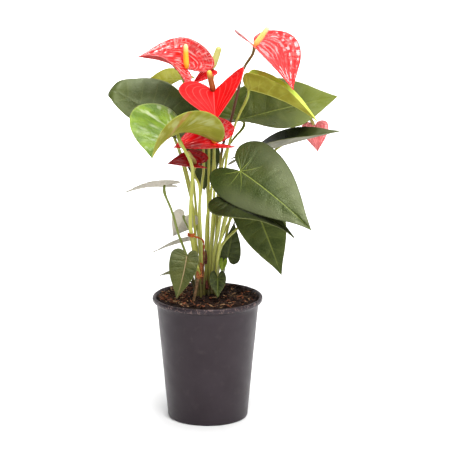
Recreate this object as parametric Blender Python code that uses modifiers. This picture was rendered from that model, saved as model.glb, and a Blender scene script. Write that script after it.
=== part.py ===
"""Potted anthurium: a plastic nursery pot of soil, heart-shaped leaves and red flowers on long stalks.

All sizes and places below are in millimetres, and a mesh is made in metres.
X runs to the right, Y away from the front of the plant and Z up.
The origin is the middle of the pot's flat underside.
"""

import math
from dataclasses import dataclass

import bmesh
import bpy
from mathutils import Matrix, Vector, noise

MM = 0.001
MERGE_DISTANCE = 0.00005

# Pot
POT_HEIGHT = 135.0
RIM_RADIUS = 60.0
RIM_DEPTH = 6.0
BODY_TOP_RADIUS = 55.5
BASE_RADIUS = 43.5
POT_WALL = 1.6
POT_FLOOR = 2.4
POT_SIDES = 40
DRAIN_HOLES = 8
DRAIN_RADIUS = 4.0
DRAIN_RING = 31.0
DRAIN_SIDES = 10
DRAIN_OVERRUN = 3.0

# Soil
SOIL_LEVEL = 131.0
SOIL_SIDES = 36
SOIL_RINGS = 9
SOIL_EDGE = 1.5
MOUND_HEIGHT = 9.0
MOUND_RADIUS = 20.0
CHIP_HEIGHT = 1.3
CHIP_SIZE = 5.0
LUMP_SIZE = 9.0
HOLE_DEPTH = 14.0
HOLE_ROOM = 0.3
HOLE_SIDES = 8
HOLE_OVERRUN = 30.0

# Plant
GAP = 0.3
STALK_GAP = 0.7
BLADE_THICK = 0.9
SPATHE_THICK = 1.0
SPADIX_FOOT = 1.0
SPADIX_GAP = 0.4
STALK_STRAIGHT = 10.0
STALK_INTO_BLADE = 0.06

# Half outlines from the notch round one lobe to the tip, along and across the rib, in rib lengths
LEAF_OUTLINE = (
    (0.0, 0.0), (-0.16, 0.05), (-0.31, 0.13), (-0.36, 0.26), (-0.25, 0.38), (-0.04, 0.45),
    (0.19, 0.44), (0.42, 0.36), (0.64, 0.23), (0.84, 0.09), (1.0, 0.0),
)
SPATHE_OUTLINE = (
    (0.0, 0.0), (-0.12, 0.05), (-0.25, 0.15), (-0.30, 0.30), (-0.20, 0.43), (0.0, 0.5),
    (0.24, 0.47), (0.48, 0.36), (0.71, 0.2), (0.9, 0.06), (1.0, 0.0),
)
HALF_WIDTH = 0.46
RIB_START = 0.42
RIB_SPEED = 1.6
LOBE_LENGTH = 0.3
STRAIGHT = 0.0001
RIB_STEPS = 12
NOD_START = 0.7
NOD_END = 0.94


@dataclass
class Blade:
    """A heart-shaped blade from its stalk joint to its tip; left is the side at the left, looking to the tip."""

    joint: tuple
    tip: tuple
    face: tuple
    width: tuple = (1.0, 1.0)
    lobes: tuple = (1.0, 1.0)
    fold: tuple = (0.0, 0.0)
    curl: tuple = (0.0, 0.0)
    droop: tuple = (0.0, 0.0)
    close: tuple = (0.0, 0.0)
    arch: float = 0.0
    nod: float = 0.0
    full: float = 0.0
    sway: float = 0.0


@dataclass
class Stalk:
    """A stalk from its place in the soil, through the points of its route, to its blade."""

    root: tuple
    route: tuple
    foot: float = 1.6
    top: float = 1.3


@dataclass
class Spadix:
    """The finger of a flower, which stands on the joint of its spathe and points to its end."""

    end: tuple
    radius: float = 3.0


LEAVES = {
    "left_large": (
        Blade((-43, 20, 325), (-105, 38, 345), (-0.4, -0.45, 0.8), width=(0.5, 0.85), lobes=(1.2, 1.5), fold=(10, 30),
              curl=(-10, -10), close=(-25, -40), nod=120, full=0.9),
        Stalk((-9.5, -0.5), ((-13, 1, 200), (-20, 9, 260), (-34, 16, 303))),
    ),
    "back_olive": (
        Blade((-28, 78, 360), (-68, 85, 357), (0, -0.7, 0.7), width=(0.85, 1.25), lobes=(0.8, 0.8), fold=(50, -34),
              close=(-70, 60)),
        Stalk((-5, 9), ((-10, 34, 190), (-16, 66, 250), (-22, 78, 310))),
    ),
    "young_folded": (
        Blade((-31, -52, 325), (-56, -118, 312), (-0.4, 0, 1), width=(1.6, 1.6), lobes=(1.2, 1.2),
              fold=(0, 49), close=(73, -24), droop=(0.02, 0), arch=25),
        Stalk((-10.5, -7), ((-14, -10, 183), (-18, -14, 212), (-18, -19, 235), (-16, -30, 270), (-17, -41, 291)),
              foot=2.6, top=1.6),
    ),
    "right_large": (
        Blade((36, 66, 317), (142, 54, 345), (0, -0.4, 0.93), width=(0.82, 0.82), lobes=(1.0, 0.5), fold=(16, 34),
              curl=(10, 0), close=(-5, -62), arch=5, full=0.9),
        Stalk((2, 5), ((6, 14, 200), (18, 44, 280))),
    ),
    "right_young": (
        Blade((44, -12, 365), (117, -28, 333), (0, 0, 1), width=(0.66, 0.75), lobes=(0.2, 0.2), fold=(48, 46),
              curl=(10, 15), close=(0, 0), arch=28),
        Stalk((6, -3), ((9, -1, 190), (13, -1, 215), (21, 2, 290), (30, 1, 325))),
    ),
    "right_edge": (
        Blade((55, 25, 289), (146, 40, 310), (0, -0.1, 1), width=(0.75, 0.75), fold=(-8, 25), curl=(0, 15), close=(60, 0),
              arch=5),
        Stalk((8, 1), ((16, 12, 180), (34, 22, 250))),
    ),
    "front_large": (
        Blade((35, -54, 285), (109, -98, 231), (0.1, -0.65, 0.75), width=(0.89, 0.75), lobes=(0.55, 0.75),
              fold=(20, -20), curl=(-10, -25), arch=20),
        Stalk((4, -7), ((9, -9, 200), (18, -16, 240), (28, -33, 265)), foot=1.7, top=1.5),
    ),
    "front_under": (
        Blade((27, -56, 257), (92, -78, 219), (0.1, -0.45, 0.9), width=(0.45, 0.95), lobes=(0.5, 0.65), fold=(45, -2),
              close=(0, 45), arch=20),
        Stalk((8, -7), ((12, -16, 190), (20, -36, 228))),
    ),
    "lower_right": (
        Blade((53, -8, 232), (80, -22, 163), (0.1, -0.95, 0.3), width=(0.8, 0.8), fold=(5, 5), arch=20),
        Stalk((11, -4), ((13.5, -6, 188), (33, -5, 212))),
    ),
    "base_front": (
        Blade((-22, -34, 188), (-33, -48, 144), (0, -0.9, 0.4), width=(0.6, 0.8), lobes=(0.4, 0.4), fold=(5, 5),
              arch=20, full=0.3, sway=-0.1),
        Stalk((-7, -11), ((-8, -13, 160), (-14, -21, 180))),
    ),
    "left_silver": (
        Blade((-46, -12, 261), (-88, -22, 255), (-0.1, 0.4, 0.9), width=(0.9, 0.9), fold=(5, 5), arch=20),
        Stalk((-14, -3), ((-19, -7, 168), (-24, -9, 186), (-31, -12, 206), (-38, -14, 232))),
    ),
    "centre_back": (
        Blade((-5, 42, 286), (-4, 53, 240), (0.1, -0.9, 0.3), width=(0.85, 0.95), fold=(8, 6), arch=22),
        Stalk((-3, 5), ((0, 30, 190), (-1, 62, 245))),
    ),
    "rear_right": (
        Blade((28, 62, 240), (31, 112, 222), (0, 0.3, 0.9), lobes=(0.5, 0.5), fold=(10, 10), curl=(-10, -10), arch=25),
        Stalk((4, 9), ((10, 24, 170), (18, 44, 210))),
    ),
    "rear_left": (
        Blade((-38, 48, 316), (-82, 62, 304), (0, 0.2, 0.9), fold=(10, 10), curl=(-10, -10), arch=25),
        Stalk((-9, 9), ((-10, 26, 195), (-28, 40, 275))),
    ),
}

SMALL_LEAVES = {
    "small_dark": (
        Blade((22, 8, 176), (29, 12, 215), (0.2, -0.9, 0.4), width=(0.5, 0.75), lobes=(0.5, 0.5), fold=(0, 0), arch=10),
        Stalk((12, 1), ((17, 4, 158),), foot=1.1, top=0.8),
    ),
    "inner_silver": (
        Blade((-25, 16, 220), (-38, 22, 196), (0.3, 0.5, 0.8), width=(1.0, 1.4), lobes=(0.6, 0.6), fold=(5, 5), arch=15),
        Stalk((-7, 5), ((-9, 9, 180),), foot=1.3, top=0.9),
    ),
    "low_left": (
        Blade((-18, 15, 194), (-60, 14, 180), (0, 0.3, 0.95), width=(0.6, 0.6), lobes=(0.1, 0.1), fold=(12, 12), arch=15),
        Stalk((-12, 6), ((-12, 9, 165),), foot=1.3, top=0.9),
    ),
    "low_tip": (
        Blade((-26, 6, 161), (-52, 6, 156), (0, -0.1, 1), width=(0.8, 0.8), lobes=(0.4, 0.4), fold=(5, 5), arch=15),
        Stalk((-14, 1.5), ((-18, 3, 150),), foot=1.1, top=0.9),
    ),
    "base_right": (
        Blade((11, -24, 161), (11, -36, 142), (0, -0.9, 0.4), width=(0.9, 0.9), fold=(5, 5), arch=10),
        Stalk((1, -11), ((5, -15, 152),), foot=1.1, top=0.8),
    ),
    "base_bright": (
        Blade((17, -8, 175), (15, -13, 164), (0, -0.9, 0.4), width=(0.8, 0.8), fold=(5, 5), arch=10),
        Stalk((12, -7), ((15, -7, 158),), foot=1.1, top=0.8),
    ),
}

FLOWERS = {
    "upper_left": (
        Blade((-22, 8, 383), (-74, -8, 399), (0, -0.4, 0.92), width=(0.95, 1.25), lobes=(0.5, 1.8),
              fold=(-22, 12), curl=(15, 50), close=(100, 0), arch=20),
        Spadix((-23, 6, 410.5)),
        Stalk((-7, -2.5), ((-9, -2, 226), (-6, 0, 259), (-4, 1, 283), (-8, 8, 345))),
    ),
    "centre": (
        Blade((7, -28, 365), (9, -68, 341), (0, -0.6, 0.8), width=(1.85, 1.6), lobes=(0.4, 1.0), fold=(38, 5),
              curl=(5, 5), droop=(0, -0.05), arch=15),
        Spadix((2, -28, 388), 3.3),
        Stalk((-2, -3), ((-1, -3, 215), (3, 2, 240), (7, 8, 290), (8, 2, 335))),
    ),
    "upper_right": (
        Blade((50, -5, 410), (90, -63, 373), (0.3, -0.45, 0.83), width=(1.2, 0.85), lobes=(1.0, 0.6), fold=(0, 37),
              curl=(15, 0), droop=(0, 0.1), arch=15),
        Spadix((65, -10, 432)),
        Stalk((4, 1), ((10, 4, 210), (15, 8, 290), (23, 6, 319), (32, 3, 356), (38, 1, 383)), foot=1.6, top=1.6),
    ),
    "lower_centre": (
        Blade((9, -22, 308), (-36, -34, 306), (0, -0.4, 0.9), width=(1.1, 1.3), lobes=(1.2, 1.6), fold=(12, 20),
              curl=(20, 35), arch=10),
        Spadix((1, -27, 323), 2.2),
        Stalk((2, -3), ((4, -5, 200), (8, -12, 265))),
    ),
    "lower_left": (
        Blade((-12, -16, 284), (-43, -26, 287), (0, -0.3, 0.95), width=(0.9, 1.0), lobes=(1.0, 1.4), fold=(5, 32), curl=(20, 35),
              arch=10),
        Spadix((-21, -24, 300), 2.6),
        Stalk((-4, -7), ((-8, -10, 227), (-8, -11, 244), (-9, -13, 261))),
    ),
    "far_right": (
        Blade((117.5, 72, 309), (121, 66, 281), (0.1, -0.9, 0.3), width=(1.05, 1.05), lobes=(0.6, 0.6), fold=(10, 10),
              arch=10),
        Spadix((112, 66, 321), 2.0),
        Stalk((6, 5), ((13, 19, 190), (58, 38, 270), (84, 54, 293), (103, 70, 299))),
    ),
    "back_green": (
        Blade((4, 42, 377), (-17, 34, 362), (0.2, -0.4, 0.9), width=(1.0, 0.5), lobes=(0.3, 0.3), fold=(10, 20),
              curl=(10, 20), arch=10),
        Spadix((13, 42, 402), 4.0),
        Stalk((0, 1), ((1, 6, 220), (2, 28, 310))),
    ),
}

# The tie goes round the thick left stalk and hangs down to the crown
TIE_RADIUS = 0.8
TIE_TURNS = 1.4
TIE_STEPS = 18
TIE_RISE = 1.9
TIE_HEIGHT = 206.0
TIE_TAIL = ((-5, -17, 201), (-4, -18, 190), (-4, -17, 178), (-5, -16, 165), (-6, -16, 152))

# A brown aerial root, from the crown down to the soil in front
ROOT_RADIUS = 1.8
AERIAL_ROOT = ((-10.4, -16, 158), (-12, -18.5, 150), (-13.5, -19.5, 142), (-15, -19, 134.1))

DARK_GREEN = ((0.045, 0.085, 0.035, 1), 0.45)
OLIVE_GREEN = ((0.22, 0.30, 0.06, 1), 0.4)
STALK_GREEN = ((0.20, 0.27, 0.06, 1), 0.5)
FLOWER_RED = ((0.72, 0.02, 0.02, 1), 0.25)
SPADIX_YELLOW = ((0.80, 0.60, 0.10, 1), 0.6)
POT_GREY = ((0.05, 0.046, 0.048, 1), 0.55)
SOIL_BROWN = ((0.07, 0.035, 0.02, 1), 0.95)
TIE_ORANGE = ((0.55, 0.10, 0.02, 1), 0.6)
ROOT_BROWN = ((0.18, 0.09, 0.04, 1), 0.8)

YOUNG_LEAVES = ("back_olive", "young_folded", "right_young", "base_bright")


def clear_scene():
    """Remove every object that the file starts with."""
    for obj in list(bpy.data.objects):
        bpy.data.objects.remove(obj, do_unlink=True)


def new_collection(name):
    """A collection in the scene."""
    made = bpy.data.collections.new(name)
    bpy.context.scene.collection.children.link(made)
    return made


def new_material(name, finish):
    """A plain material of a colour and a roughness."""
    colour, roughness = finish
    made = bpy.data.materials.new(name)
    made.use_nodes = True
    shader = made.node_tree.nodes["Principled BSDF"]
    shader.inputs["Base Color"].default_value = colour
    shader.inputs["Roughness"].default_value = roughness
    shader.inputs["Metallic"].default_value = 0.0
    made.diffuse_color = colour
    return made


def add_object(name, data, collection, finish):
    """An object in a collection, with a material of its own."""
    made = bpy.data.objects.new(name, data)
    collection.objects.link(made)
    data.materials.append(new_material(name, finish))
    return made


def smooth_point(points, share):
    """The point at a share of the way along a smooth curve through the points."""
    last = len(points) - 1
    place = min(max(share, 0.0), 1.0) * last
    index = min(int(place), last - 1)
    t = place - index
    before, start, end, after = (Vector(points[min(max(index + k, 0), last)]) for k in (-1, 0, 1, 2))
    return 0.5 * (
        2 * start
        + (end - before) * t
        + (2 * before - 5 * start + 4 * end - after) * t**2
        + (3 * start - before - 3 * end + after) * t**3
    )


def flat_point(blade, outline, side, share, out):
    """A point of the flat blade: share runs round the margin, and out from the rib to the margin."""
    along, across = smooth_point(outline, share)
    half = 0 if side > 0 else 1
    if along < 0:
        along *= blade.lobes[half]
    rib = max(0.0, (share - RIB_START) / (1 - RIB_START)) ** RIB_SPEED
    wide = blade.width[half] * (1 + blade.full * max(along, 0.0))
    return rib + out * (along - rib), side * out * across * wide


def rib_angle(blade, along):
    """How far the rib points down at a place: it arches evenly, and nods near the tip."""
    share = min(max((along - NOD_START) / (NOD_END - NOD_START), 0.0), 1.0)
    return math.radians(blade.arch * along + blade.nod * share**2 * (3 - 2 * share))


def bent_point(blade, along, across):
    """The point of the flat blade after its fold, curl, droop, sway, arch and nod, in rib lengths."""
    half = 0 if across >= 0 else 1
    side = 1 if across >= 0 else -1
    back = min(max(-along / LOBE_LENGTH, 0.0), 1.5)
    start = math.radians(blade.fold[half] + blade.close[half] * along)
    turn = math.radians(blade.curl[half]) * abs(across) / HALF_WIDTH
    if abs(turn) < STRAIGHT:
        turn = STRAIGHT
    reach = abs(across) / turn
    y = side * reach * (math.sin(start + turn) - math.sin(start))
    z = reach * (math.cos(start) - math.cos(start + turn))
    z -= blade.droop[half] * back**2
    y += blade.sway * along**2
    step = along / RIB_STEPS
    angles = [rib_angle(blade, step * (index + 0.5)) for index in range(RIB_STEPS)]
    angle = rib_angle(blade, along)
    x = sum(math.cos(bend) for bend in angles) * step + z * math.sin(angle)
    z = z * math.cos(angle) - sum(math.sin(bend) for bend in angles) * step
    return Vector((x, y, z))


def blade_frame(blade):
    """The matrix that sets a bent blade of unit rib length from its joint to its tip, in millimetres."""
    joint = Vector(blade.joint)
    run = Vector(blade.tip) - joint
    tip = bent_point(blade, 1.0, 0.0)
    length = run.length / tip.length
    forward = tip.normalized()
    up = (Vector((0, 0, 1)) - forward * forward.z).normalized()
    local = Matrix((forward, up.cross(forward), up)).transposed()
    forward = run.normalized()
    face = Vector(blade.face)
    up = (face - forward * face.dot(forward)).normalized()
    world = Matrix((forward, up.cross(forward), up)).transposed()
    turn = world @ local.transposed()
    return Matrix.LocRotScale(joint, turn.to_quaternion(), Vector((length,) * 3)), turn.col[2].normalized()


def blade_mesh(name, blade, outline, rows, columns):
    """A blade as a grid whose rows run out from the rib to the margin, laid on its bent form."""
    sheet = bmesh.new()
    bmesh.ops.create_grid(sheet, x_segments=2 * columns, y_segments=rows, size=1.0)
    frame, _ = blade_frame(blade)
    for vertex in sheet.verts:
        share = (vertex.co.y + 1) / 2
        out = abs(vertex.co.x)
        side = -1 if vertex.co.x < 0 else 1
        along, across = flat_point(blade, outline, side, share, out)
        vertex.co = frame @ bent_point(blade, along, across) * MM
    bmesh.ops.remove_doubles(sheet, verts=sheet.verts, dist=0.02 * MM)
    bmesh.ops.triangulate(sheet, faces=sheet.faces)
    sheet.normal_update()
    upward = frame.to_3x3() @ Vector((0, 0, 1))
    if sum(face.normal.dot(upward) for face in sheet.faces) < 0:
        bmesh.ops.reverse_faces(sheet, faces=sheet.faces)
    mesh = bpy.data.meshes.new(name)
    sheet.to_mesh(mesh)
    sheet.free()
    mesh.shade_smooth()
    return mesh


def add_blade(name, blade, outline, thick, finish, collection, rows=12, columns=3):
    """A blade of even thickness."""
    made = add_object(name, blade_mesh(name, blade, outline, rows, columns), collection, finish)
    shell = made.modifiers.new("Thickness", "SOLIDIFY")
    shell.thickness = thick * MM
    shell.offset = 0.0
    return made


def stalk_points(stalk, blade, reach):
    """The points of a stalk's route, from the bottom of its hole to its blade."""
    _, normal = blade_frame(blade)
    end = Vector(blade.joint) - normal * reach
    low = SOIL_LEVEL - HOLE_DEPTH + MOUND_HEIGHT
    ground = [(*stalk.root, low), (*stalk.root, low + HOLE_DEPTH + 1), (*stalk.root, low + HOLE_DEPTH + 5)]
    near_end = Vector(blade.joint) - normal * STALK_STRAIGHT * min(1.0, stalk.top / 1.2)
    return [Vector(point) for point in ground + list(stalk.route)] + [near_end, end]


def add_tube(name, points, radii, collection, finish, steps=2, sides=6):
    """A tube with closed ends along a smooth curve through the points, tapering between its radii."""
    count = steps * (len(points) - 1)
    line = bpy.data.curves.new(name, "CURVE")
    line.dimensions = "3D"
    spline = line.splines.new("POLY")
    spline.points.add(count)
    for index, point in enumerate(spline.points):
        share = index / count
        point.co = (*(smooth_point(points, share) * MM), 1.0)
        point.radius = smooth_point([(radius,) * 3 for radius in radii], share)[0]
    line.bevel_depth = MM
    line.bevel_resolution = (sides - 4) // 2
    line.use_fill_caps = True
    return add_object(name, line, collection, finish)


def as_mesh(obj):
    """The object with its shape made a plain mesh, under the same name and material."""
    graph = bpy.context.evaluated_depsgraph_get()
    mesh = bpy.data.meshes.new_from_object(obj.evaluated_get(graph), depsgraph=graph)
    welded = bmesh.new()
    welded.from_mesh(mesh)
    bmesh.ops.remove_doubles(welded, verts=welded.verts, dist=0.005 * MM)
    welded.to_mesh(mesh)
    welded.free()
    name, place = obj.name, obj.matrix_world.copy()
    collection = obj.users_collection[0]
    bpy.data.objects.remove(obj, do_unlink=True)
    made = bpy.data.objects.new(name, mesh)
    made.matrix_world = place
    collection.objects.link(made)
    return made


def join(obj, other):
    """Join another closed mesh to the object, and remove the other."""
    union = obj.modifiers.new("Join", "BOOLEAN")
    union.operation = "UNION"
    union.object = other
    whole = as_mesh(obj)
    bpy.data.objects.remove(other, do_unlink=True)
    return whole


def add_leaf(name, blade, stalk, collection):
    """A leaf: its blade, and its stalk as a piece of its own that ends just under the blade."""
    finish = OLIVE_GREEN if name in YOUNG_LEAVES else DARK_GREEN
    add_blade(f"leaf_{name}", blade, LEAF_OUTLINE, BLADE_THICK, finish, collection)
    slope = math.radians(max(0.0, -min(blade.fold)))
    reach = BLADE_THICK / 2 + STALK_GAP + stalk.top * math.tan(slope)
    points = stalk_points(stalk, blade, reach)
    add_tube(f"stalk_{name}", points, (stalk.foot, stalk.top), collection, STALK_GREEN)


def add_small_leaf(name, blade, stalk, collection):
    """A small young leaf, its blade and its stalk grown as one piece."""
    finish = OLIVE_GREEN if name in YOUNG_LEAVES else DARK_GREEN
    leaf = add_blade(f"leaf_{name}", blade, LEAF_OUTLINE, BLADE_THICK, finish, collection, rows=9, columns=2)
    points = stalk_points(stalk, blade, 0.0)
    points[-1] += (Vector(blade.tip) - Vector(blade.joint)) * STALK_INTO_BLADE
    tube = as_mesh(add_tube(f"stem_{name}", points, (stalk.foot, stalk.top), collection, finish))
    join(leaf, tube)


def add_flower(name, blade, spadix, stalk, collection):
    """A flower: its red spathe, its spadix standing on the joint and its stalk below it."""
    add_blade(f"spathe_{name}", blade, SPATHE_OUTLINE, SPATHE_THICK, FLOWER_RED, collection)
    slope = math.radians(max(0.0, -min(blade.fold)))
    points = stalk_points(stalk, blade, SPATHE_THICK / 2 + STALK_GAP + stalk.top * math.tan(slope))
    add_tube(f"flower_stalk_{name}", points, (stalk.foot, stalk.top), collection, STALK_GREEN)
    _, normal = blade_frame(blade)
    slope = math.radians(sum(max(0.0, fold) for fold in blade.fold) / 2)
    end = Vector(spadix.end)
    pointing = (end - Vector(blade.joint)).normalized()
    lean = pointing.angle(normal)
    reach = (SPATHE_THICK / 2 + SPADIX_GAP + SPADIX_FOOT * math.sin(lean)) / math.cos(lean)
    start = Vector(blade.joint) + pointing * (reach + SPADIX_FOOT * math.tan(slope))
    radii = (SPADIX_FOOT, spadix.radius, spadix.radius, spadix.radius * 0.95, spadix.radius * 0.7, 0.4)
    add_tube(f"spadix_{name}", [start, end], radii, collection, SPADIX_YELLOW, steps=9, sides=8)


def add_pot(collection, cutters):
    """The nursery pot: a tapered shell with a rounded rim bead, and holes in its floor."""
    profile = [
        (0, POT_FLOOR),
        (BASE_RADIUS - POT_WALL, POT_FLOOR),
        (BODY_TOP_RADIUS - POT_WALL, POT_HEIGHT - RIM_DEPTH),
        (RIM_RADIUS - 3.6, POT_HEIGHT - 1.2),
        (RIM_RADIUS - 2.6, POT_HEIGHT - 0.2),
        (RIM_RADIUS - 1.4, POT_HEIGHT),
        (RIM_RADIUS - 0.4, POT_HEIGHT - 0.6),
        (RIM_RADIUS, POT_HEIGHT - 2.0),
        (RIM_RADIUS - 0.2, POT_HEIGHT - 4.6),
        (RIM_RADIUS - 1.2, POT_HEIGHT - RIM_DEPTH),
        (BODY_TOP_RADIUS + 0.4, POT_HEIGHT - RIM_DEPTH - 1.2),
        (BODY_TOP_RADIUS - 0.2, POT_HEIGHT - RIM_DEPTH - 4.0),
        (BASE_RADIUS + 0.15, 1.6),
        (BASE_RADIUS - 1.2, 0),
        (0, 0),
    ]
    line = bpy.data.meshes.new("pot")
    line.from_pydata(
        [(radius * MM, 0, height * MM) for radius, height in profile],
        [(index, index + 1) for index in range(len(profile) - 1)],
        [],
    )
    pot = add_object("pot", line, collection, POT_GREY)
    turned = pot.modifiers.new("Turn", "SCREW")
    turned.steps = POT_SIDES
    turned.render_steps = POT_SIDES
    turned.use_merge_vertices = True
    turned.merge_threshold = MERGE_DISTANCE
    turned.use_smooth_shade = True
    for index in range(DRAIN_HOLES):
        angle = 2 * math.pi * (index + 0.5) / DRAIN_HOLES
        place = (DRAIN_RING * math.cos(angle), DRAIN_RING * math.sin(angle))
        low, high = -DRAIN_OVERRUN, POT_FLOOR + DRAIN_OVERRUN
        add_cutter(f"drain_{index}", place, low, high, DRAIN_RADIUS, DRAIN_SIDES, cutters)
    cut = pot.modifiers.new("Drain", "BOOLEAN")
    cut.operand_type = "COLLECTION"
    cut.collection = cutters


def add_cutter(name, place, low, high, radius, sides, collection):
    """An upright round cutter between two heights."""
    form = bmesh.new()
    bmesh.ops.create_cone(
        form, cap_ends=True, segments=sides, radius1=radius * MM, radius2=radius * MM, depth=(high - low) * MM
    )
    mesh = bpy.data.meshes.new(name)
    form.to_mesh(mesh)
    form.free()
    made = bpy.data.objects.new(name, mesh)
    made.location = Vector((*place, (low + high) / 2)) * MM
    made.hide_render = True
    made.display_type = "WIRE"
    collection.objects.link(made)


def soil_height(x, y):
    """The height of the soil at a place, with its mound round the crown and its coarse chips."""
    mound = MOUND_HEIGHT * math.exp(-((math.hypot(x, y) / MOUND_RADIUS) ** 2))
    chips = noise.cell(Vector((x / CHIP_SIZE, y / CHIP_SIZE, 0.0)))
    lumps = noise.noise(Vector((x / LUMP_SIZE, y / LUMP_SIZE, 3.0)))
    return SOIL_LEVEL + mound + CHIP_HEIGHT * (chips - 0.5 + lumps)


def add_soil(collection, cutters, stalks):
    """The soil that fills the pot, with a hole for each stalk."""
    slope = (BODY_TOP_RADIUS - BASE_RADIUS) / (POT_HEIGHT - RIM_DEPTH - POT_FLOOR)
    low = POT_FLOOR + GAP
    bottom = BASE_RADIUS - POT_WALL - GAP
    top = bottom + slope * (SOIL_LEVEL - SOIL_EDGE - low)
    profile = [(top * ring / SOIL_RINGS, SOIL_LEVEL) for ring in range(SOIL_RINGS + 1)]
    profile += [(top, SOIL_LEVEL - 2 * SOIL_EDGE), (bottom, low), (0.0, low)]
    line = bpy.data.meshes.new("soil")
    line.from_pydata(
        [(radius * MM, 0, height * MM) for radius, height in profile],
        [(index, index + 1) for index in range(len(profile) - 1)],
        [],
    )
    soil = add_object("soil", line, collection, SOIL_BROWN)
    turned = soil.modifiers.new("Turn", "SCREW")
    turned.steps = SOIL_SIDES
    turned.render_steps = SOIL_SIDES
    turned.use_merge_vertices = True
    turned.merge_threshold = MERGE_DISTANCE
    soil = as_mesh(soil)
    for vertex in soil.data.vertices:
        if vertex.co.z > (SOIL_LEVEL - 0.1) * MM:
            vertex.co.z = soil_height(vertex.co.x / MM, vertex.co.y / MM) * MM
    bottom_of_hole = SOIL_LEVEL - HOLE_DEPTH + MOUND_HEIGHT - GAP
    top_of_hole = SOIL_LEVEL + HOLE_OVERRUN
    for name, stalk in stalks.items():
        radius = stalk.foot + HOLE_ROOM
        add_cutter(f"hole_{name}", stalk.root, bottom_of_hole, top_of_hole, radius, HOLE_SIDES, cutters)
    cut = soil.modifiers.new("Holes", "BOOLEAN")
    cut.operand_type = "COLLECTION"
    cut.collection = cutters


def add_tie(collection):
    """The soft tie, wound round the thick stalk, with its tail down to the soil."""
    blade, stalk = LEAVES["young_folded"]
    route = stalk_points(stalk, blade, GAP)
    centre = min(
        (smooth_point(route, share / 100) for share in range(101)),
        key=lambda point: abs(point.z - TIE_HEIGHT),
    )
    ring = stalk.foot + GAP + TIE_RADIUS
    points = []
    for index in range(TIE_STEPS + 1):
        turn = TIE_TURNS * index / TIE_STEPS
        angle = math.pi + 2 * math.pi * turn
        rise = TIE_RISE * (TIE_TURNS / 2 - turn)
        points.append(centre + Vector((ring * math.cos(angle), ring * math.sin(angle), rise)))
    points += [Vector(point) for point in TIE_TAIL]
    add_tube("plant_tie", points, (TIE_RADIUS, TIE_RADIUS), collection, TIE_ORANGE, steps=1)


def main():
    clear_scene()
    plant = new_collection("potted_anthurium")
    drains = new_collection("drain_cutters")
    holes = new_collection("hole_cutters")
    stalks = {}
    for name, (blade, stalk) in LEAVES.items():
        add_leaf(name, blade, stalk, plant)
        stalks[f"leaf_{name}"] = stalk
    for name, (blade, stalk) in SMALL_LEAVES.items():
        add_small_leaf(name, blade, stalk, plant)
        stalks[f"leaf_{name}"] = stalk
    for name, (blade, spadix, stalk) in FLOWERS.items():
        add_flower(name, blade, spadix, stalk, plant)
        stalks[f"flower_{name}"] = stalk
    add_pot(plant, drains)
    add_soil(plant, holes, stalks)
    add_tie(plant)
    root = [Vector(point) for point in AERIAL_ROOT]
    add_tube("aerial_root", root, (ROOT_RADIUS, ROOT_RADIUS * 0.8), plant, ROOT_BROWN)


main()
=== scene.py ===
"""Potted anthurium: the fine surfaces, materials, light and camera around the model's solids.

Lengths and places are in millimetres, as in the solids, and meshes are made in metres.
X runs to the right, Y away from the camera and Z up. The origin is the middle of the pot's underside.
"""

import math
import random
from dataclasses import dataclass
from functools import partial

import bmesh
import bpy
import numpy as np
from mathutils import Matrix, Vector, noise


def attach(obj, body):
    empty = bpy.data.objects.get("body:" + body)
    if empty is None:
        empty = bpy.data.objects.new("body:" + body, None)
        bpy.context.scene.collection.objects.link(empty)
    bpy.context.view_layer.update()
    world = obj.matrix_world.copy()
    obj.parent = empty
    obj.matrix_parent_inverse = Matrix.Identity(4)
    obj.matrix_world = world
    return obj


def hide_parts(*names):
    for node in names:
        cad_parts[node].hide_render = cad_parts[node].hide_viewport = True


MM = 0.001

# Pot
POT_HEIGHT = 135.0
RIM_RADIUS = 60.0
RIM_DEPTH = 6.0
BODY_TOP_RADIUS = 55.5
BASE_RADIUS = 43.5
POT_WALL = 1.6
POT_FLOOR = 2.4
FLOOR_RING = 12.0
POT_SIDES = 144
TAPER_LEVELS = 14
DRAIN_HOLES = 8
DRAIN_RADIUS = 4.0
DRAIN_RING = 31.0
DRAIN_DEPTH = 12.0
DRAIN_SIDES = 28
SHARP_ANGLE = 50.0
INNER_CORNER = (1.2, 1.0)

# The pot's profile, out and up from its rim's widest edge, from the wall below the rim, and from its foot
RIM_PROFILE = (
    (-4.4, -2.6), (-3.6, -1.2), (-2.6, -0.2), (-1.9, 0.0), (-1.1, -0.1), (-0.4, -0.7),
    (0.0, -1.8), (0.0, -3.2), (-0.3, -4.6), (-1.0, -5.6), (-2.4, -6.0),
)
NECK_PROFILE = ((0.5, -1.0), (-0.1, -2.2), (-0.4, -6.0))
FOOT_PROFILE = ((0.25, 3.0), (0.05, 1.4), (-0.4, 0.5), (-1.2, 0.0), (-2.6, 0.0))

# The worn rim: its waves outward and upward, and their sizes
WEAR_DEPTH = 1.5
WEAR_OUT, WEAR_OUT_SIZE = 0.35, 7
WEAR_UP, WEAR_UP_SIZE = 0.3, 16

# Soil: its level, its mound round the crown, its lumps, and its bank at the wall
SOIL_LEVEL = 131.0
MOUND_HEIGHT = 9.0
MOUND_RADIUS = 20.0
LUMP_RISE, LUMP_SIZE = 1.3, 9.0
BANK_RISE = 4.0
BANK_START = 22.0
BANK_WIDTH = 26.0
SOIL_GAP = 0.3
SOIL_RINGS = 44
SOIL_SIDES = 150
SOIL_SINK = 0.8
EDGE_DEPTH, SIDE_DEPTH = 1.0, 6.0
UNDER_GAP, UNDER_INSET = 0.5, 0.2
CALM_RINGS = 4
CHUNK_RISE, CHUNK_SIZE = 1.7, 3.1
GRAIN_RISE, GRAIN_SIZE = 1.2, 2.0
PLAIN_TONE = 0.3

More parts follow.
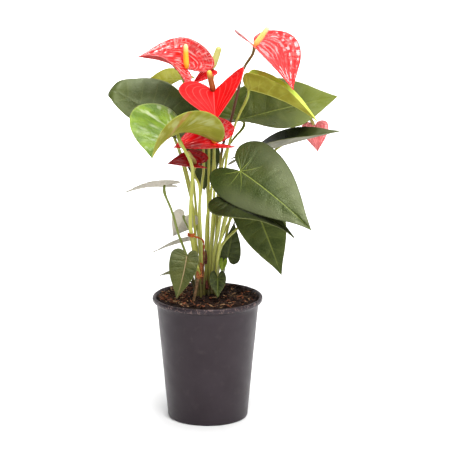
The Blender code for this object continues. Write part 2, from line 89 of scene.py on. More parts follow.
# Bark chips: their number, the room round a stalk, their sizes and shapes, and the side with more pale ones
CHIPS = 1700
CHIP_SEED = 7
CHIP_ROOM = 2.2
WALL_ROOM = 0.3
CHIP_SMALL, CHIP_SPREAD = 0.55, 1.9
CHIP_LONG = (1.0, 3.4)
CHIP_WIDE, CHIP_FLAT = 0.55, 0.4
CHIP_TILT = 0.5
CHIP_ROUGH = 0.28
CHIP_RISE = 0.25
PALE_SIDE = -20
PALE_SHARE, PALE_LIFT = 0.75, 0.45

# Plant
HOLE_DEPTH = 14.0
LEAF_THICK = 0.75
BRACT_THICK = 0.8
SPATHE_THICK = 1.0
SPADIX_FOOT = 1.0
SPADIX_GAP = 0.4
SPADIX_SINK = 1.0
SPADIX_BEND = 0.35
SPADIX_NECK, SPADIX_SWELL, SPADIX_RISE = 0.55, 0.45, 0.16
SPADIX_TAPER = 0.22
SPADIX_CAP, CAP_LENGTH = 0.86, 0.14
STALK_STRAIGHT = 10.0
STALK_SINK = 0.2
STALK_THIN = 1.2
STALK_RISES = (0.0, HOLE_DEPTH + 1, HOLE_DEPTH + 5)
MERGE = 0.02

# Half outlines from the notch round one lobe to the tip, along and across the rib, in rib lengths
LEAF_OUTLINE = (
    (0.0, 0.0), (-0.16, 0.05), (-0.31, 0.13), (-0.36, 0.26), (-0.25, 0.38), (-0.04, 0.45),
    (0.19, 0.44), (0.42, 0.36), (0.64, 0.23), (0.84, 0.09), (1.0, 0.0),
)
SPATHE_OUTLINE = (
    (0.0, 0.0), (-0.12, 0.05), (-0.25, 0.15), (-0.30, 0.30), (-0.20, 0.43), (0.0, 0.5),
    (0.24, 0.47), (0.48, 0.36), (0.71, 0.2), (0.9, 0.06), (1.0, 0.0),
)
HALF_WIDTH = 0.46
RIB_START = 0.42
RIB_SPEED = 1.6
LOBE_LENGTH = 0.3
STRAIGHT = 0.0001
RIB_STEPS = 12
NOD_START = 0.7
NOD_END = 0.94
STEEP = 1.25
LEAF_GRID, SMALL_GRID, SPATHE_GRID = (96, 24), (72, 16), (128, 32)
SMALL_QUILT = 0.7
VEINS = 12
LEAF_SEED, SPATHE_SEED = 0.37, 0.71
MARGIN_THIN = 0.45

# Relief on the two sides of a leaf: the grooves over its midrib and veins, the quilting and the soft swells
RIB_WIDTH, VEIN_WIDTH = 1.1, 0.5
UPPER_SIDE = (1.0, 0.45, 0.18)
LOWER_SIDE = (0.8, 0.75, 0.3)
SWELL_RISE, SWELL_SIZE = 1.1, 24
MARGIN_SHIFT = 1.3
FULL_GAP = 6.0

# Relief of a spathe: its ridges, their drift to the side, and the puckers' start, drift and steps
RIDGE_SHARE = 0.45
DRIFT_SHARE, DRIFT_SIZE, RIDGE_DRIFT = 0.3, 13, 0.05
PUCKER_START, PUCKER_DRIFT, PUCKER_STEP = 0.45, 0.8, 0.35

# Swelling of a stalk below its blade, its place and width, and what the sheath adds at the foot
PETIOLE_SWELL = (0.32, 0.95, 0.035, 0.25)
PEDUNCLE_SWELL = (0.35, 1.0, 0.02, 0.0)
SHEATH_LENGTH = 0.16


@dataclass
class Blade:
    """A heart-shaped blade from its joint to its tip. Pairs are its left and right, looking to the tip."""

    joint: tuple
    tip: tuple
    face: tuple
    width: tuple = (1.0, 1.0)
    lobes: tuple = (1.0, 1.0)
    fold: tuple = (0.0, 0.0)
    curl: tuple = (0.0, 0.0)
    droop: tuple = (0.0, 0.0)
    close: tuple = (0.0, 0.0)
    arch: float = 0.0
    nod: float = 0.0
    full: float = 0.0
    sway: float = 0.0


@dataclass
class Stalk:
    """A stalk from its place in the soil, through the points of its route, to its blade."""

    root: tuple
    route: tuple
    foot: float = 1.6
    top: float = 1.3


@dataclass
class Spadix:
    """The finger of a flower, which stands on the joint of its spathe and points to its end."""

    end: tuple
    radius: float = 3.0


LEAVES = {
    "left_large": (
        Blade((-43, 20, 325), (-105, 38, 345), (-0.4, -0.45, 0.8), width=(0.5, 0.85), lobes=(1.2, 1.5),
              fold=(10, 30), curl=(-10, -10), close=(-25, -40), nod=120, full=0.9),
        Stalk((-9.5, -0.5), ((-13, 1, 200), (-20, 9, 260), (-34, 16, 303))),
    ),
    "back_olive": (
        Blade((-28, 78, 360), (-68, 85, 357), (0, -0.7, 0.7), width=(0.85, 1.25), lobes=(0.8, 0.8),
              fold=(50, -34), close=(-70, 60)),
        Stalk((-5, 9), ((-10, 34, 190), (-16, 66, 250), (-22, 78, 310))),
    ),
    "young_folded": (
        Blade((-31, -52, 325), (-56, -118, 312), (-0.4, 0, 1), width=(1.6, 1.6), lobes=(1.2, 1.2),
              fold=(0, 49), close=(73, -24), droop=(0.02, 0), arch=25),
        Stalk((-10.5, -7), ((-14, -10, 183), (-18, -14, 212), (-18, -19, 235), (-16, -30, 270),
              (-17, -41, 291)), foot=2.6, top=1.6),
    ),
    "right_large": (
        Blade((36, 66, 317), (142, 54, 345), (0, -0.4, 0.93), width=(0.82, 0.82), lobes=(1.0, 0.5),
              fold=(16, 34), curl=(10, 0), close=(-5, -62), arch=5, full=0.9),
        Stalk((2, 5), ((6, 14, 200), (18, 44, 280))),
    ),
    "right_young": (
        Blade((44, -12, 365), (117, -28, 333), (0, 0, 1), width=(0.66, 0.75), lobes=(0.2, 0.2),
              fold=(48, 46), curl=(10, 15), close=(0, 0), arch=28),
        Stalk((6, -3), ((9, -1, 190), (13, -1, 215), (21, 2, 290), (30, 1, 325))),
    ),
    "right_edge": (
        Blade((55, 25, 289), (146, 40, 310), (0, -0.1, 1), width=(0.75, 0.75), fold=(-8, 25), curl=(0, 15),
              close=(60, 0), arch=5),
        Stalk((8, 1), ((16, 12, 180), (34, 22, 250))),
    ),
    "front_large": (
        Blade((35, -54, 285), (109, -98, 231), (0.1, -0.65, 0.75), width=(0.89, 0.75), lobes=(0.55, 0.75),
              fold=(20, -20), curl=(-10, -25), arch=20),
        Stalk((4, -7), ((9, -9, 200), (18, -16, 240), (28, -33, 265)), foot=1.7, top=1.5),
    ),
    "front_under": (
        Blade((27, -56, 257), (92, -78, 219), (0.1, -0.45, 0.9), width=(0.45, 0.95), lobes=(0.5, 0.65),
              fold=(45, -2), close=(0, 45), arch=20),
        Stalk((8, -7), ((12, -16, 190), (20, -36, 228))),
    ),
    "lower_right": (
        Blade((53, -8, 232), (80, -22, 163), (0.1, -0.95, 0.3), width=(0.8, 0.8), fold=(5, 5), arch=20),
        Stalk((11, -4), ((13.5, -6, 188), (33, -5, 212))),
    ),
    "base_front": (
        Blade((-22, -34, 188), (-33, -48, 144), (0, -0.9, 0.4), width=(0.6, 0.8), lobes=(0.4, 0.4),
              fold=(5, 5), arch=20, full=0.3, sway=-0.1),
        Stalk((-7, -11), ((-8, -13, 160), (-14, -21, 180))),
    ),
    "left_silver": (
        Blade((-46, -12, 261), (-88, -22, 255), (-0.1, 0.4, 0.9), width=(0.9, 0.9), fold=(5, 5), arch=20),
        Stalk((-14, -3), ((-19, -7, 168), (-24, -9, 186), (-31, -12, 206), (-38, -14, 232))),
    ),
    "centre_back": (
        Blade((-5, 42, 286), (-4, 53, 240), (0.1, -0.9, 0.3), width=(0.85, 0.95), fold=(8, 6), arch=22),
        Stalk((-3, 5), ((0, 30, 190), (-1, 62, 245))),
    ),
    "rear_right": (
        Blade((28, 62, 240), (31, 112, 222), (0, 0.3, 0.9), lobes=(0.5, 0.5), fold=(10, 10),
              curl=(-10, -10), arch=25),
        Stalk((4, 9), ((10, 24, 170), (18, 44, 210))),
    ),
    "rear_left": (
        Blade((-38, 48, 316), (-82, 62, 304), (0, 0.2, 0.9), fold=(10, 10), curl=(-10, -10), arch=25),
        Stalk((-9, 9), ((-10, 26, 195), (-28, 40, 275))),
    ),
}

SMALL_LEAVES = {
    "small_dark": (
        Blade((22, 8, 176), (29, 12, 215), (0.2, -0.9, 0.4), width=(0.5, 0.75), lobes=(0.5, 0.5),
              fold=(0, 0), arch=10),
        Stalk((12, 1), ((17, 4, 158),), foot=1.1, top=0.8),
    ),
    "inner_silver": (
        Blade((-25, 16, 220), (-38, 22, 196), (0.3, 0.5, 0.8), width=(1.0, 1.4), lobes=(0.6, 0.6),
              fold=(5, 5), arch=15),
        Stalk((-7, 5), ((-9, 9, 180),), foot=1.3, top=0.9),
    ),
    "low_left": (
        Blade((-18, 15, 194), (-60, 14, 180), (0, 0.3, 0.95), width=(0.6, 0.6), lobes=(0.1, 0.1),
              fold=(12, 12), arch=15),
        Stalk((-12, 6), ((-12, 9, 165),), foot=1.3, top=0.9),
    ),
    "low_tip": (
        Blade((-26, 6, 161), (-52, 6, 156), (0, -0.1, 1), width=(0.8, 0.8), lobes=(0.4, 0.4), fold=(5, 5),
              arch=15),
        Stalk((-14, 1.5), ((-18, 3, 150),), foot=1.1, top=0.9),
    ),
    "base_right": (
        Blade((11, -24, 161), (11, -36, 142), (0, -0.9, 0.4), width=(0.9, 0.9), fold=(5, 5), arch=10),
        Stalk((1, -11), ((5, -15, 152),), foot=1.1, top=0.8),
    ),
    "base_bright": (
        Blade((17, -8, 175), (15, -13, 164), (0, -0.9, 0.4), width=(0.8, 0.8), fold=(5, 5), arch=10),
        Stalk((12, -7), ((15, -7, 158),), foot=1.1, top=0.8),
    ),
}

FLOWERS = {
    "upper_left": (
        Blade((-22, 8, 383), (-74, -8, 399), (0, -0.4, 0.92), width=(0.95, 1.25), lobes=(0.5, 1.8),
              fold=(-22, 12), curl=(15, 50), close=(100, 0), arch=20),
        Spadix((-23, 6, 410.5)),
        Stalk((-7, -2.5), ((-9, -2, 226), (-6, 0, 259), (-4, 1, 283), (-8, 8, 345))),
    ),
    "centre": (
        Blade((7, -28, 365), (9, -68, 341), (0, -0.6, 0.8), width=(1.85, 1.6), lobes=(0.4, 1.0),
              fold=(38, 5), curl=(5, 5), droop=(0, -0.05), arch=15),
        Spadix((2, -28, 388), 3.3),
        Stalk((-2, -3), ((-1, -3, 215), (3, 2, 240), (7, 8, 290), (8, 2, 335))),
    ),
    "upper_right": (
        Blade((50, -5, 410), (90, -63, 373), (0.3, -0.45, 0.83), width=(1.2, 0.85), lobes=(1.0, 0.6),
              fold=(0, 37), curl=(15, 0), droop=(0, 0.1), arch=15),
        Spadix((65, -10, 432)),
        Stalk((4, 1), ((10, 4, 210), (15, 8, 290), (23, 6, 319), (32, 3, 356), (38, 1, 383)), foot=1.6,
              top=1.6),
    ),
    "lower_centre": (
        Blade((9, -22, 308), (-36, -34, 306), (0, -0.4, 0.9), width=(1.1, 1.3), lobes=(1.2, 1.6),
              fold=(12, 20), curl=(20, 35), arch=10),
        Spadix((1, -27, 323), 2.2),
        Stalk((2, -3), ((4, -5, 200), (8, -12, 265))),
    ),
    "lower_left": (
        Blade((-12, -16, 284), (-43, -26, 287), (0, -0.3, 0.95), width=(0.9, 1.0), lobes=(1.0, 1.4),
              fold=(5, 32), curl=(20, 35), arch=10),
        Spadix((-21, -24, 300), 2.6),
        Stalk((-4, -7), ((-8, -10, 227), (-8, -11, 244), (-9, -13, 261))),
    ),
    "far_right": (
        Blade((117.5, 72, 309), (121, 66, 281), (0.1, -0.9, 0.3), width=(1.05, 1.05), lobes=(0.6, 0.6),
              fold=(10, 10), arch=10),
        Spadix((112, 66, 321), 2.0),
        Stalk((6, 5), ((13, 19, 190), (58, 38, 270), (84, 54, 293), (103, 70, 299))),
    ),
    "back_green": (
        Blade((4, 42, 377), (-17, 34, 362), (0.2, -0.4, 0.9), width=(1.0, 0.5), lobes=(0.3, 0.3),
              fold=(10, 20), curl=(10, 20), arch=10),
        Spadix((13, 42, 402), 4.0),
        Stalk((0, 1), ((1, 6, 220), (2, 28, 310))),
    ),
}

PLANT = {**LEAVES, **SMALL_LEAVES, **FLOWERS}


# The tie goes round the thick left stalk and hangs down to the crown
TIE_RADIUS = 0.9
TIE_STRAND, TIE_PITCH, TIE_FUZZ = 0.22, 0.9, 0.08
TIE_TURNS = 1.4
TIE_STEPS = 18
TIE_RISE = 1.9
TIE_HEIGHT = 206.0
TIE_TAIL = ((-5, -17, 201), (-4, -18, 190), (-4, -17, 178), (-5, -16, 165), (-6, -16, 152))

# The brown root at the crown, down to the soil in front
AERIAL_ROOT = ((-10.4, -16, 158), (-12, -18.5, 150), (-13.5, -19.5, 142), (-15, -19, 134.1))
ROOT_RADIUS = 1.8
ROOT_TAPER = 0.35
KNOT_RISE, KNOT_SIZE = 0.3, 2.2

# The veins that leave the joint beside the midrib: angle in degrees and reach, and their bend
BASAL_VEINS = ((38, 30), (80, 24), (128, 24))
BASAL_BEND = 0.009

# The florets of a spadix: their spirals, their height and their size
FLORETS_AROUND = 7
FLORETS_UP = 2.1
FLORET_RISE = 0.13
FLORET_SIZE = 1.15

# Dry bits at the crown, set back until they touch a stalk: points, radius and material
CROWN_BITS = (
    (((-7, -15, 159), (-6, -17, 166), (-7, -16, 174)), 3.0, "scale"),
    (((-10, -14, 157), (-10.5, -15, 164), (-9, -15, 170)), 2.3, "scale"),
    (((-2, -15, 172), (-1.5, -17, 179), (-2, -16, 187)), 1.5, "stub"),
    (((0, -17, 146), (-1, -19, 151), (-1, -17, 158)), 1.9, "stub"),
    (((1, -19, 165), (10, -22, 166), (17, -21, 168)), 0.7, "scale"),
)
SET_BACK = 0.5
SET_BACK_STEPS = 50
BIT_SEAT, STICK_SEAT = 0.5, 0.4

# Dry sticks that lie on the soil: places and radius
SOIL_STICKS = (
    (((-50, 4), (-43, -6), (-35, -12)), 0.9),
    (((22, 8), (30, -2), (36, -14)), 0.9),
    (((26, 4), (36, 6), (44, -4)), 0.7),
    (((-36, -28), (-26, -34), (-17, -40)), 0.7),
    (((8, -42), (16, -38), (26, -38)), 0.6),
    (((-48, 14), (-40, 8), (-30, 10)), 0.7),
    (((2, -30), (10, -26), (14, -18)), 0.6),
)

# Camera, in metres and degrees
CAMERA_PLACE = (0.0189, -2.5303, 0.8120)
CAMERA_TILT = 76.7
FOCAL_LENGTH = 192.4
SENSOR_WIDTH = 36.0
VIEW_END = 50.0

# Floor, in metres
FLOOR_REACH = 12.0
FLOOR_GAP = 0.0002

# Lights: name, place, aim, size, power and spread
LIGHTS = (
    ("top_softbox", (0.12, 0.12, 1.95), (0.0, 0.0, 0.30), (0.9, 0.6), 28.0, 180.0),
    ("front_key", (0.30, -1.35, 1.85), (0.0, 0.0, 0.22), (1.1, 0.8), 46.0, 180.0),
    ("side_panel", (1.30, -0.95, 0.75), (0.0, 0.0, 0.30), (1.0, 0.8), 6.0, 180.0),
    ("back_strip", (0.33, 1.12, 1.84), (0.0, 0.0, 0.30), (0.42, 0.20), 1.8, 180.0),
    ("floor_light", (0.0, 2.4, 2.2), (0.0, 2.4, 0.0), (3.6, 2.4), 80.0, 70.0),
)

# The studio is pale behind the plant, and darker above it and on the camera's side
WORLD_LIGHT = 0.75
FRONT_SHADE = 0.5
SHADE_START, SHADE_END = -0.25, 0.75


@dataclass
class LeafLook:
    """The materials of a leaf and the waves of its margin, in millimetres on a blade 100 mm long."""

    upper: str
    lower: str = "under"
    stalk: str = "stalk"
    wave: float = 0.8
    waves: float = 2.0
    quilt: float = 0.28


@dataclass
class SpatheLook:
    """The materials of a flower, and how deep and many its ribs and ripples are."""

    upper: str = "red"
    lower: str = "under_red"
    spadix: str = "yellow"
    stalk: str = "stalk"
    pucker: float = 0.8
    ribs: float = 3.4
    ripples: float = 15.0
    cross: float = 0.22


LEAF_LOOKS = {
    "left_large": LeafLook("broad"),
    "back_olive": LeafLook("lime", "under_young", wave=0.5),
    "young_folded": LeafLook("folded", "under_folded", wave=0.6),
    "right_large": LeafLook("wide"),
    "right_young": LeafLook("olive", "under_olive", wave=0.5),
    "right_edge": LeafLook("darkest", "under_grey"),
    "front_large": LeafLook("front", wave=0.5, quilt=0.12),
    "front_under": LeafLook("darkest"),
    "lower_right": LeafLook("dark"),
    "base_front": LeafLook("mid", wave=0.4, quilt=0.14),
    "left_silver": LeafLook("dark", "silver_soft", "stalk_dark"),
    "centre_back": LeafLook("deep"),
    "rear_right": LeafLook("dark"),
    "rear_left": LeafLook("dark"),
    "small_dark": LeafLook("deep", stalk="stalk_dark"),
    "inner_silver": LeafLook("mid", "silver", "stalk_dark"),
    "low_left": LeafLook("mid", "silver"),
    "low_tip": LeafLook("mid", stalk="stalk_dark"),
    "base_right": LeafLook("darkest", stalk="stalk_dark"),
    "base_bright": LeafLook("bright"),
}

SPATHE_LOOKS = {
    "upper_left": SpatheLook(pucker=1.8, ribs=5.2, ripples=19.0, cross=0.28),
    "centre": SpatheLook("red_satin", spadix="orange", pucker=0.5, ribs=5.2),
    "upper_right": SpatheLook(
        "red_clear", spadix="cream", stalk="stalk_wine", pucker=1.1, ribs=4.6, ripples=17.0, cross=0.12,
    ),
    "lower_centre": SpatheLook("deep_red", pucker=1.1),
    "lower_left": SpatheLook("dark_red", spadix="tan"),
    "far_right": SpatheLook("pink", spadix="tan"),
    "back_green": SpatheLook("deep_red", "green_back", spadix="pale"),
}

# Colours are linear, in thousandths. The last value of each material says what else differs from its kind
GREEN_RIB = (180, 210, 40)
GREEN_EDGE = (170, 180, 60)
# Pale pink of the painted highlight streaks on the spathes
PAINTED_HIGHLIGHT = (920, 420, 400)
# Painted shade on the stalks near the soil, where the crown lies in shadow: its dark brown, and the heights
# over which it fades in
CROWN_PAINTED_SHADE = (52, 30, 10)
PAINTED_SHADE_HEIGHTS = (174.0, 146.0)
LEAF_TINT = (0.9, 1.0, 0.6, 1.0)
POT_DARK, POT_LIGHT = (10, 7, 9), (16, 12, 15)
POT_SCUFF, POT_DUST = (190, 125, 110), (100, 80, 75)
POT_TINT = (1.0, 0.84, 0.92, 1.0)
FLOOR_WHITE = (930, 930, 930)

# Upper sides of leaves: deep, light, veins, midrib and margin
LEAF_PAINTS = {
    # The broad leaf's midrib is painted dark: painted shade along its groove, which also darkens the veins
    # from its joint
    "broad": (
        (16, 26, 4), (34, 46, 9), (100, 120, 28), (35, 45, 10), GREEN_EDGE,
        {"tip": (58, 75, 16)},
    ),
    "dark": ((24, 36, 6), (56, 72, 15), (130, 160, 36), GREEN_RIB, GREEN_EDGE, {}),
    "darkest": (
        (10, 14, 3), (22, 29, 6), (40, 52, 10), (90, 110, 20), GREEN_EDGE,
        {"gloss": 0.16, "tip": (46, 56, 16)},
    ),
    "deep": ((16, 24, 4), (36, 48, 10), (65, 85, 18), (100, 120, 25), GREEN_EDGE, {}),
    "mid": (
        (30, 38, 8), (66, 70, 18), (130, 140, 35), (340, 240, 130), GREEN_EDGE,
        {"veins": 0.14, "width": 0.5, "basal": 0.12},
    ),
    "wide": (
        (34, 46, 5), (60, 75, 10), (100, 120, 20), GREEN_RIB, GREEN_EDGE,
        {"tip": (112, 136, 16), "gloss": 0.16},
    ),
    "front": (
        (22, 34, 6), (40, 52, 11), (110, 140, 30), (240, 290, 50), (30, 40, 8),
        {"veins": 0.12, "width": 0.42, "basal": 0.9, "outer": (86, 99, 47)},
    ),
    "lime": (
        (150, 145, 6), (200, 195, 18), (240, 240, 40), (220, 220, 30), (300, 300, 70),
        {"gloss": 0.14},
    ),
    "olive": ((460, 660, 50), (580, 780, 100), (600, 620, 120), (600, 620, 120), (620, 640, 160), {}),
    "folded": (
        (65, 130, 4), (150, 240, 10), (200, 300, 30), (240, 330, 40), (300, 360, 60),
        {"rough": 0.26, "gloss": 0.3, "coat": 0.25, "shine": (500, 540, 380)},
    ),
    "bright": ((120, 190, 8), (200, 280, 20), (260, 340, 40), (300, 370, 50), GREEN_EDGE, {}),
}

# Undersides of leaves: deep, light and veins
UNDER_PAINTS = {
    "under": ((100, 100, 50), (140, 140, 75), (190, 190, 90), {}),
    "silver": ((540, 500, 420), (640, 590, 510), (680, 640, 530), {}),
    "silver_soft": ((370, 340, 280), (470, 430, 370), (520, 480, 400), {}),
    "under_grey": ((150, 145, 100), (210, 200, 140), (250, 240, 170), {}),
    "under_young": ((290, 280, 35), (380, 370, 70), (460, 460, 120), {}),
    "under_folded": (
        (220, 215, 22), (300, 290, 45), (370, 370, 100),
        {"scar": (0.39, 0.05, (340, 150, 35)), "shine": (440, 460, 220), "veins": 0.35},
    ),
    "under_olive": ((260, 240, 25), (370, 360, 50), (480, 480, 100), {"veins": 0.3}),
}

# Spathes: deep, bright and veins
SPATHE_PAINTS = {
    "red": ((500, 4, 6), (700, 10, 11), (840, 140, 130), {"bloom": 0.6}),
    "red_clear": (
        (540, 4, 6), (720, 10, 11), (840, 100, 90), {"gloss": 0.06, "coat": 0.6, "bloom": 0.14},
    ),
    "red_satin": (
        (500, 3, 4), (680, 7, 8), (860, 200, 180), {"rough": 0.36, "gloss": 0.04, "coat": 0.0},
    ),
    "deep_red": (
        (400, 1, 3), (680, 3, 5), (740, 20, 20), {"gloss": 0.05, "coat": 0.3, "bloom": 0.2},
    ),
    "dark_red": ((200, 2, 3), (300, 4, 6), (360, 20, 20), {"gloss": 0.1, "coat": 0.25}),
    "pink": ((580, 70, 75), (780, 200, 200), (860, 420, 400), {"rough": 0.4, "coat": 0.2, "bloom": 0.5}),
    "under_red": ((500, 18, 18), (600, 35, 33), (660, 120, 110), {"rough": 0.42, "coat": 0.1}),
    "green_back": ((200, 220, 50), (260, 270, 70), (340, 340, 120), {"rough": 0.4, "coat": 0.1}),
}

# Spadices: foot, middle and tip
SPADIX_PAINTS = {
    "yellow": ((860, 340, 12), (930, 580, 30), (970, 920, 450), {}),
    "orange": ((240, 45, 2), (310, 80, 4), (940, 680, 90), {}),
    "cream": ((920, 660, 160), (950, 840, 240), (970, 960, 550), {}),
    "pale": ((660, 640, 220), (620, 600, 180), (560, 550, 140), {}),
    "tan": ((360, 270, 50), (420, 340, 80), (460, 380, 120), {}),
}

# Stalks: low, high and top
STALK_PAINTS = {
    "stalk": ((280, 270, 30), (380, 390, 60), (280, 320, 35), {}),
    "stalk_dark": ((130, 150, 20), (150, 180, 25), (140, 180, 22), {}),
    "stalk_wine": (
        (260, 260, 30), (100, 28, 6), (300, 200, 60), {"turns": (0.52, 0.62, 0.84, 0.92)},
    ),
}

# Rough ones: dark, light, and the size and the depth of their lumps
ROUGH_PAINTS = {
    "soil": ((5, 1.8, 1), (20, 7, 3.5), 2.5, 0.5, {}),
    "bark": (
        (10, 4, 2), (34, 13, 6), 1.6, 0.3,
        {"key": "tone", "ends": ((240, 78, 32), (420, 260, 130))},
    ),
    "root": ((85, 45, 22), (220, 130, 60), 2.2, 0.35, {}),
    "scale": ((220, 60, 16), (440, 160, 50), 1.8, 0.3, {}),
    "stub": ((45, 8, 5), (110, 22, 10), 1.8, 0.25, {"rough": 0.6}),
    "tie": (
        (280, 48, 6), (380, 85, 12), 2.0, 0.12,
        {"rough": 0.6, "key": "share", "ends": ((90, 22, 5), (75, 28, 9))},
    ),
}


def smooth_point(points, share):
    """The point at a share of the way along a smooth curve through the points."""
    last = len(points) - 1
    place = min(max(share, 0.0), 1.0) * last
    index = min(int(place), last - 1)
    t = place - index
    before, start, end, after = (Vector(points[min(max(index + k, 0), last)]) for k in (-1, 0, 1, 2))
    return 0.5 * (
        2 * start
        + (end - before) * t
        + (2 * before - 5 * start + 4 * end - after) * t**2
        + (3 * start - before - 3 * end + after) * t**3
    )


def rib_angle(blade, along):
    """How far the rib points down at a place: it arches evenly, and nods near the tip."""
    share = np.clip((along - NOD_START) / (NOD_END - NOD_START), 0.0, 1.0)
    return np.radians(blade.arch * along + blade.nod * share**2 * (3 - 2 * share))


def bent_points(blade, along, across):
    """The points of the flat blade after its fold, curl, droop, sway, arch and nod, in rib lengths."""
    half = (across < 0).astype(int)
    side = np.where(across < 0, -1.0, 1.0)
    fold, close, curl, droop = (
        np.array(values, float)[half] for values in (blade.fold, blade.close, blade.curl, blade.droop)
    )
    back = np.clip(-along / LOBE_LENGTH, 0.0, 1.5)
    start = np.radians(fold + close * along)
    turn = np.radians(curl) * np.abs(across) / HALF_WIDTH
    turn = np.where(np.abs(turn) < STRAIGHT, STRAIGHT, turn)
    reach = np.abs(across) / turn
    y = side * reach * (np.sin(start + turn) - np.sin(start)) + blade.sway * along**2
    z = reach * (np.cos(start) - np.cos(start + turn)) - droop * back**2
    step = along / RIB_STEPS
    angles = [rib_angle(blade, step * (index + 0.5)) for index in range(RIB_STEPS)]
    angle = rib_angle(blade, along)
    x = sum(np.cos(bend) for bend in angles) * step + z * np.sin(angle)
    z = z * np.cos(angle) - sum(np.sin(bend) for bend in angles) * step
    return np.stack((x, y, z), axis=-1)


def blade_frame(blade):
    """The matrix that sets a bent blade of unit length on its joint and tip, its normal and its length."""
    joint = Vector(blade.joint)
    run = Vector(blade.tip) - joint
    tip = Vector(bent_points(blade, np.array(1.0), np.array(0.0)))
    length = run.length / tip.length
    bases = []
    for ahead, face in ((tip.normalized(), Vector((0, 0, 1))), (run.normalized(), Vector(blade.face))):
        up = (face - ahead * face.dot(ahead)).normalized()
        bases.append(Matrix((ahead, up.cross(ahead), up)).transposed())
    turn = bases[1] @ bases[0].transposed()
    frame = Matrix.LocRotScale(joint, turn.to_quaternion(), Vector((length,) * 3))
    return frame, turn.col[2].normalized(), length


def soil_height(x, y):
    """The height of the soil at a place."""
    mound = MOUND_HEIGHT * math.exp(-((math.hypot(x, y) / MOUND_RADIUS) ** 2))
    lumps = noise.noise(Vector((x / LUMP_SIZE, y / LUMP_SIZE, 3.0)))
    bank = BANK_RISE * min(1.0, max(0.0, (math.hypot(x, y) - BANK_START) / BANK_WIDTH)) ** 1.5
    return SOIL_LEVEL + mound + bank + LUMP_RISE * lumps


def soil_radius(z):
    """The inner radius of the pot at a height, less a small gap."""
    slope = (BODY_TOP_RADIUS - BASE_RADIUS) / (POT_HEIGHT - RIM_DEPTH - POT_FLOOR)
    return BASE_RADIUS - POT_WALL - SOIL_GAP + slope * (z - POT_FLOOR)


def add_object(name, data):
    """An object in the scene."""
    made = bpy.data.objects.new(name, data)
    bpy.context.scene.collection.objects.link(made)
    return made


def form_object(name, form):
    """An object in the scene, made from a form that is then let go."""
    mesh = bpy.data.meshes.new(name)
    form.to_mesh(mesh)
    form.free()
    return add_object(name, mesh)


def mesh_object(name, points, faces, materials, nodes, values, indices=None):
    """A smooth piece from points in millimetres, on the root body, with point values for its materials."""
    mesh = bpy.data.meshes.new(name)
    mesh.from_pydata((np.asarray(points, float) * MM).tolist(), [], faces)
    for key, numbers in values.items():
        mesh.attributes.new(key, "FLOAT", "POINT").data.foreach_set("value", np.asarray(numbers, np.float32))
    for material in materials:
        mesh.materials.append(material)
    if indices is not None:
        mesh.polygons.foreach_set("material_index", indices)
    mesh.shade_smooth()
    mesh.update()
    made = add_object(name, mesh)
    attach(made, "root")
    if nodes:
        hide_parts(*nodes)
    return made


def sheet_grid(blade, outline, rows, columns):
    """The blade's middle surface as a grid: its shares, its signed outs, and its places along and across."""
    shares = np.linspace(0.0, 1.0, rows + 1)
    outs = np.linspace(-1.0, 1.0, 2 * columns + 1)
    margin = np.array([smooth_point([(*point, 0.0) for point in outline], share)[:2] for share in shares])
    rib = np.maximum(0.0, (shares - RIB_START) / (1 - RIB_START)) ** RIB_SPEED
    half = (outs < 0).astype(int)
    lobes = np.array(blade.lobes)[half][None, :]
    width = np.array(blade.width)[half][None, :]
    margin_along = np.where(margin[:, :1] < 0, margin[:, :1] * lobes, margin[:, :1])
    out = np.abs(outs)[None, :]
    along = rib[:, None] + out**STEEP * (margin_along - rib[:, None])
    fuller = 1 + blade.full * np.maximum(margin_along, 0.0)
    across = np.sign(outs)[None, :] * out * margin[:, 1:] * width * fuller
    return shares, outs, along, across


def merged(points, values):
    """A grid with the points that meet merged: its points, normals, faces, open edges and point values."""
    rows, columns, _ = points.shape
    form = bmesh.new()
    layer = form.verts.layers.int.new("index")
    keep = [form.verts.new(point) for point in points.reshape(-1, 3)]
    for index, vertex in enumerate(keep):
        vertex[layer] = index
    for row in range(rows - 1):
        for corner in range(row * columns, (row + 1) * columns - 1):
            form.faces.new([keep[corner + step] for step in (0, 1, columns + 1, columns)])
    bmesh.ops.remove_doubles(form, verts=form.verts, dist=MERGE)
    form.verts.index_update()
    form.normal_update()
    old = [vertex[layer] for vertex in form.verts]
    spots = np.array([vertex.co[:] for vertex in form.verts])
    normals = np.array([vertex.normal[:] for vertex in form.verts])
    faces = [[vertex.index for vertex in face.verts] for face in form.faces]
    edges = [
        (loop.vert.index, loop.link_loop_next.vert.index)
        for edge in form.edges
        if len(edge.link_loops) == 1
        for loop in edge.link_loops
    ]
    form.free()
    return spots, normals, faces, edges, {key: numbers.ravel()[old] for key, numbers in values.items()}


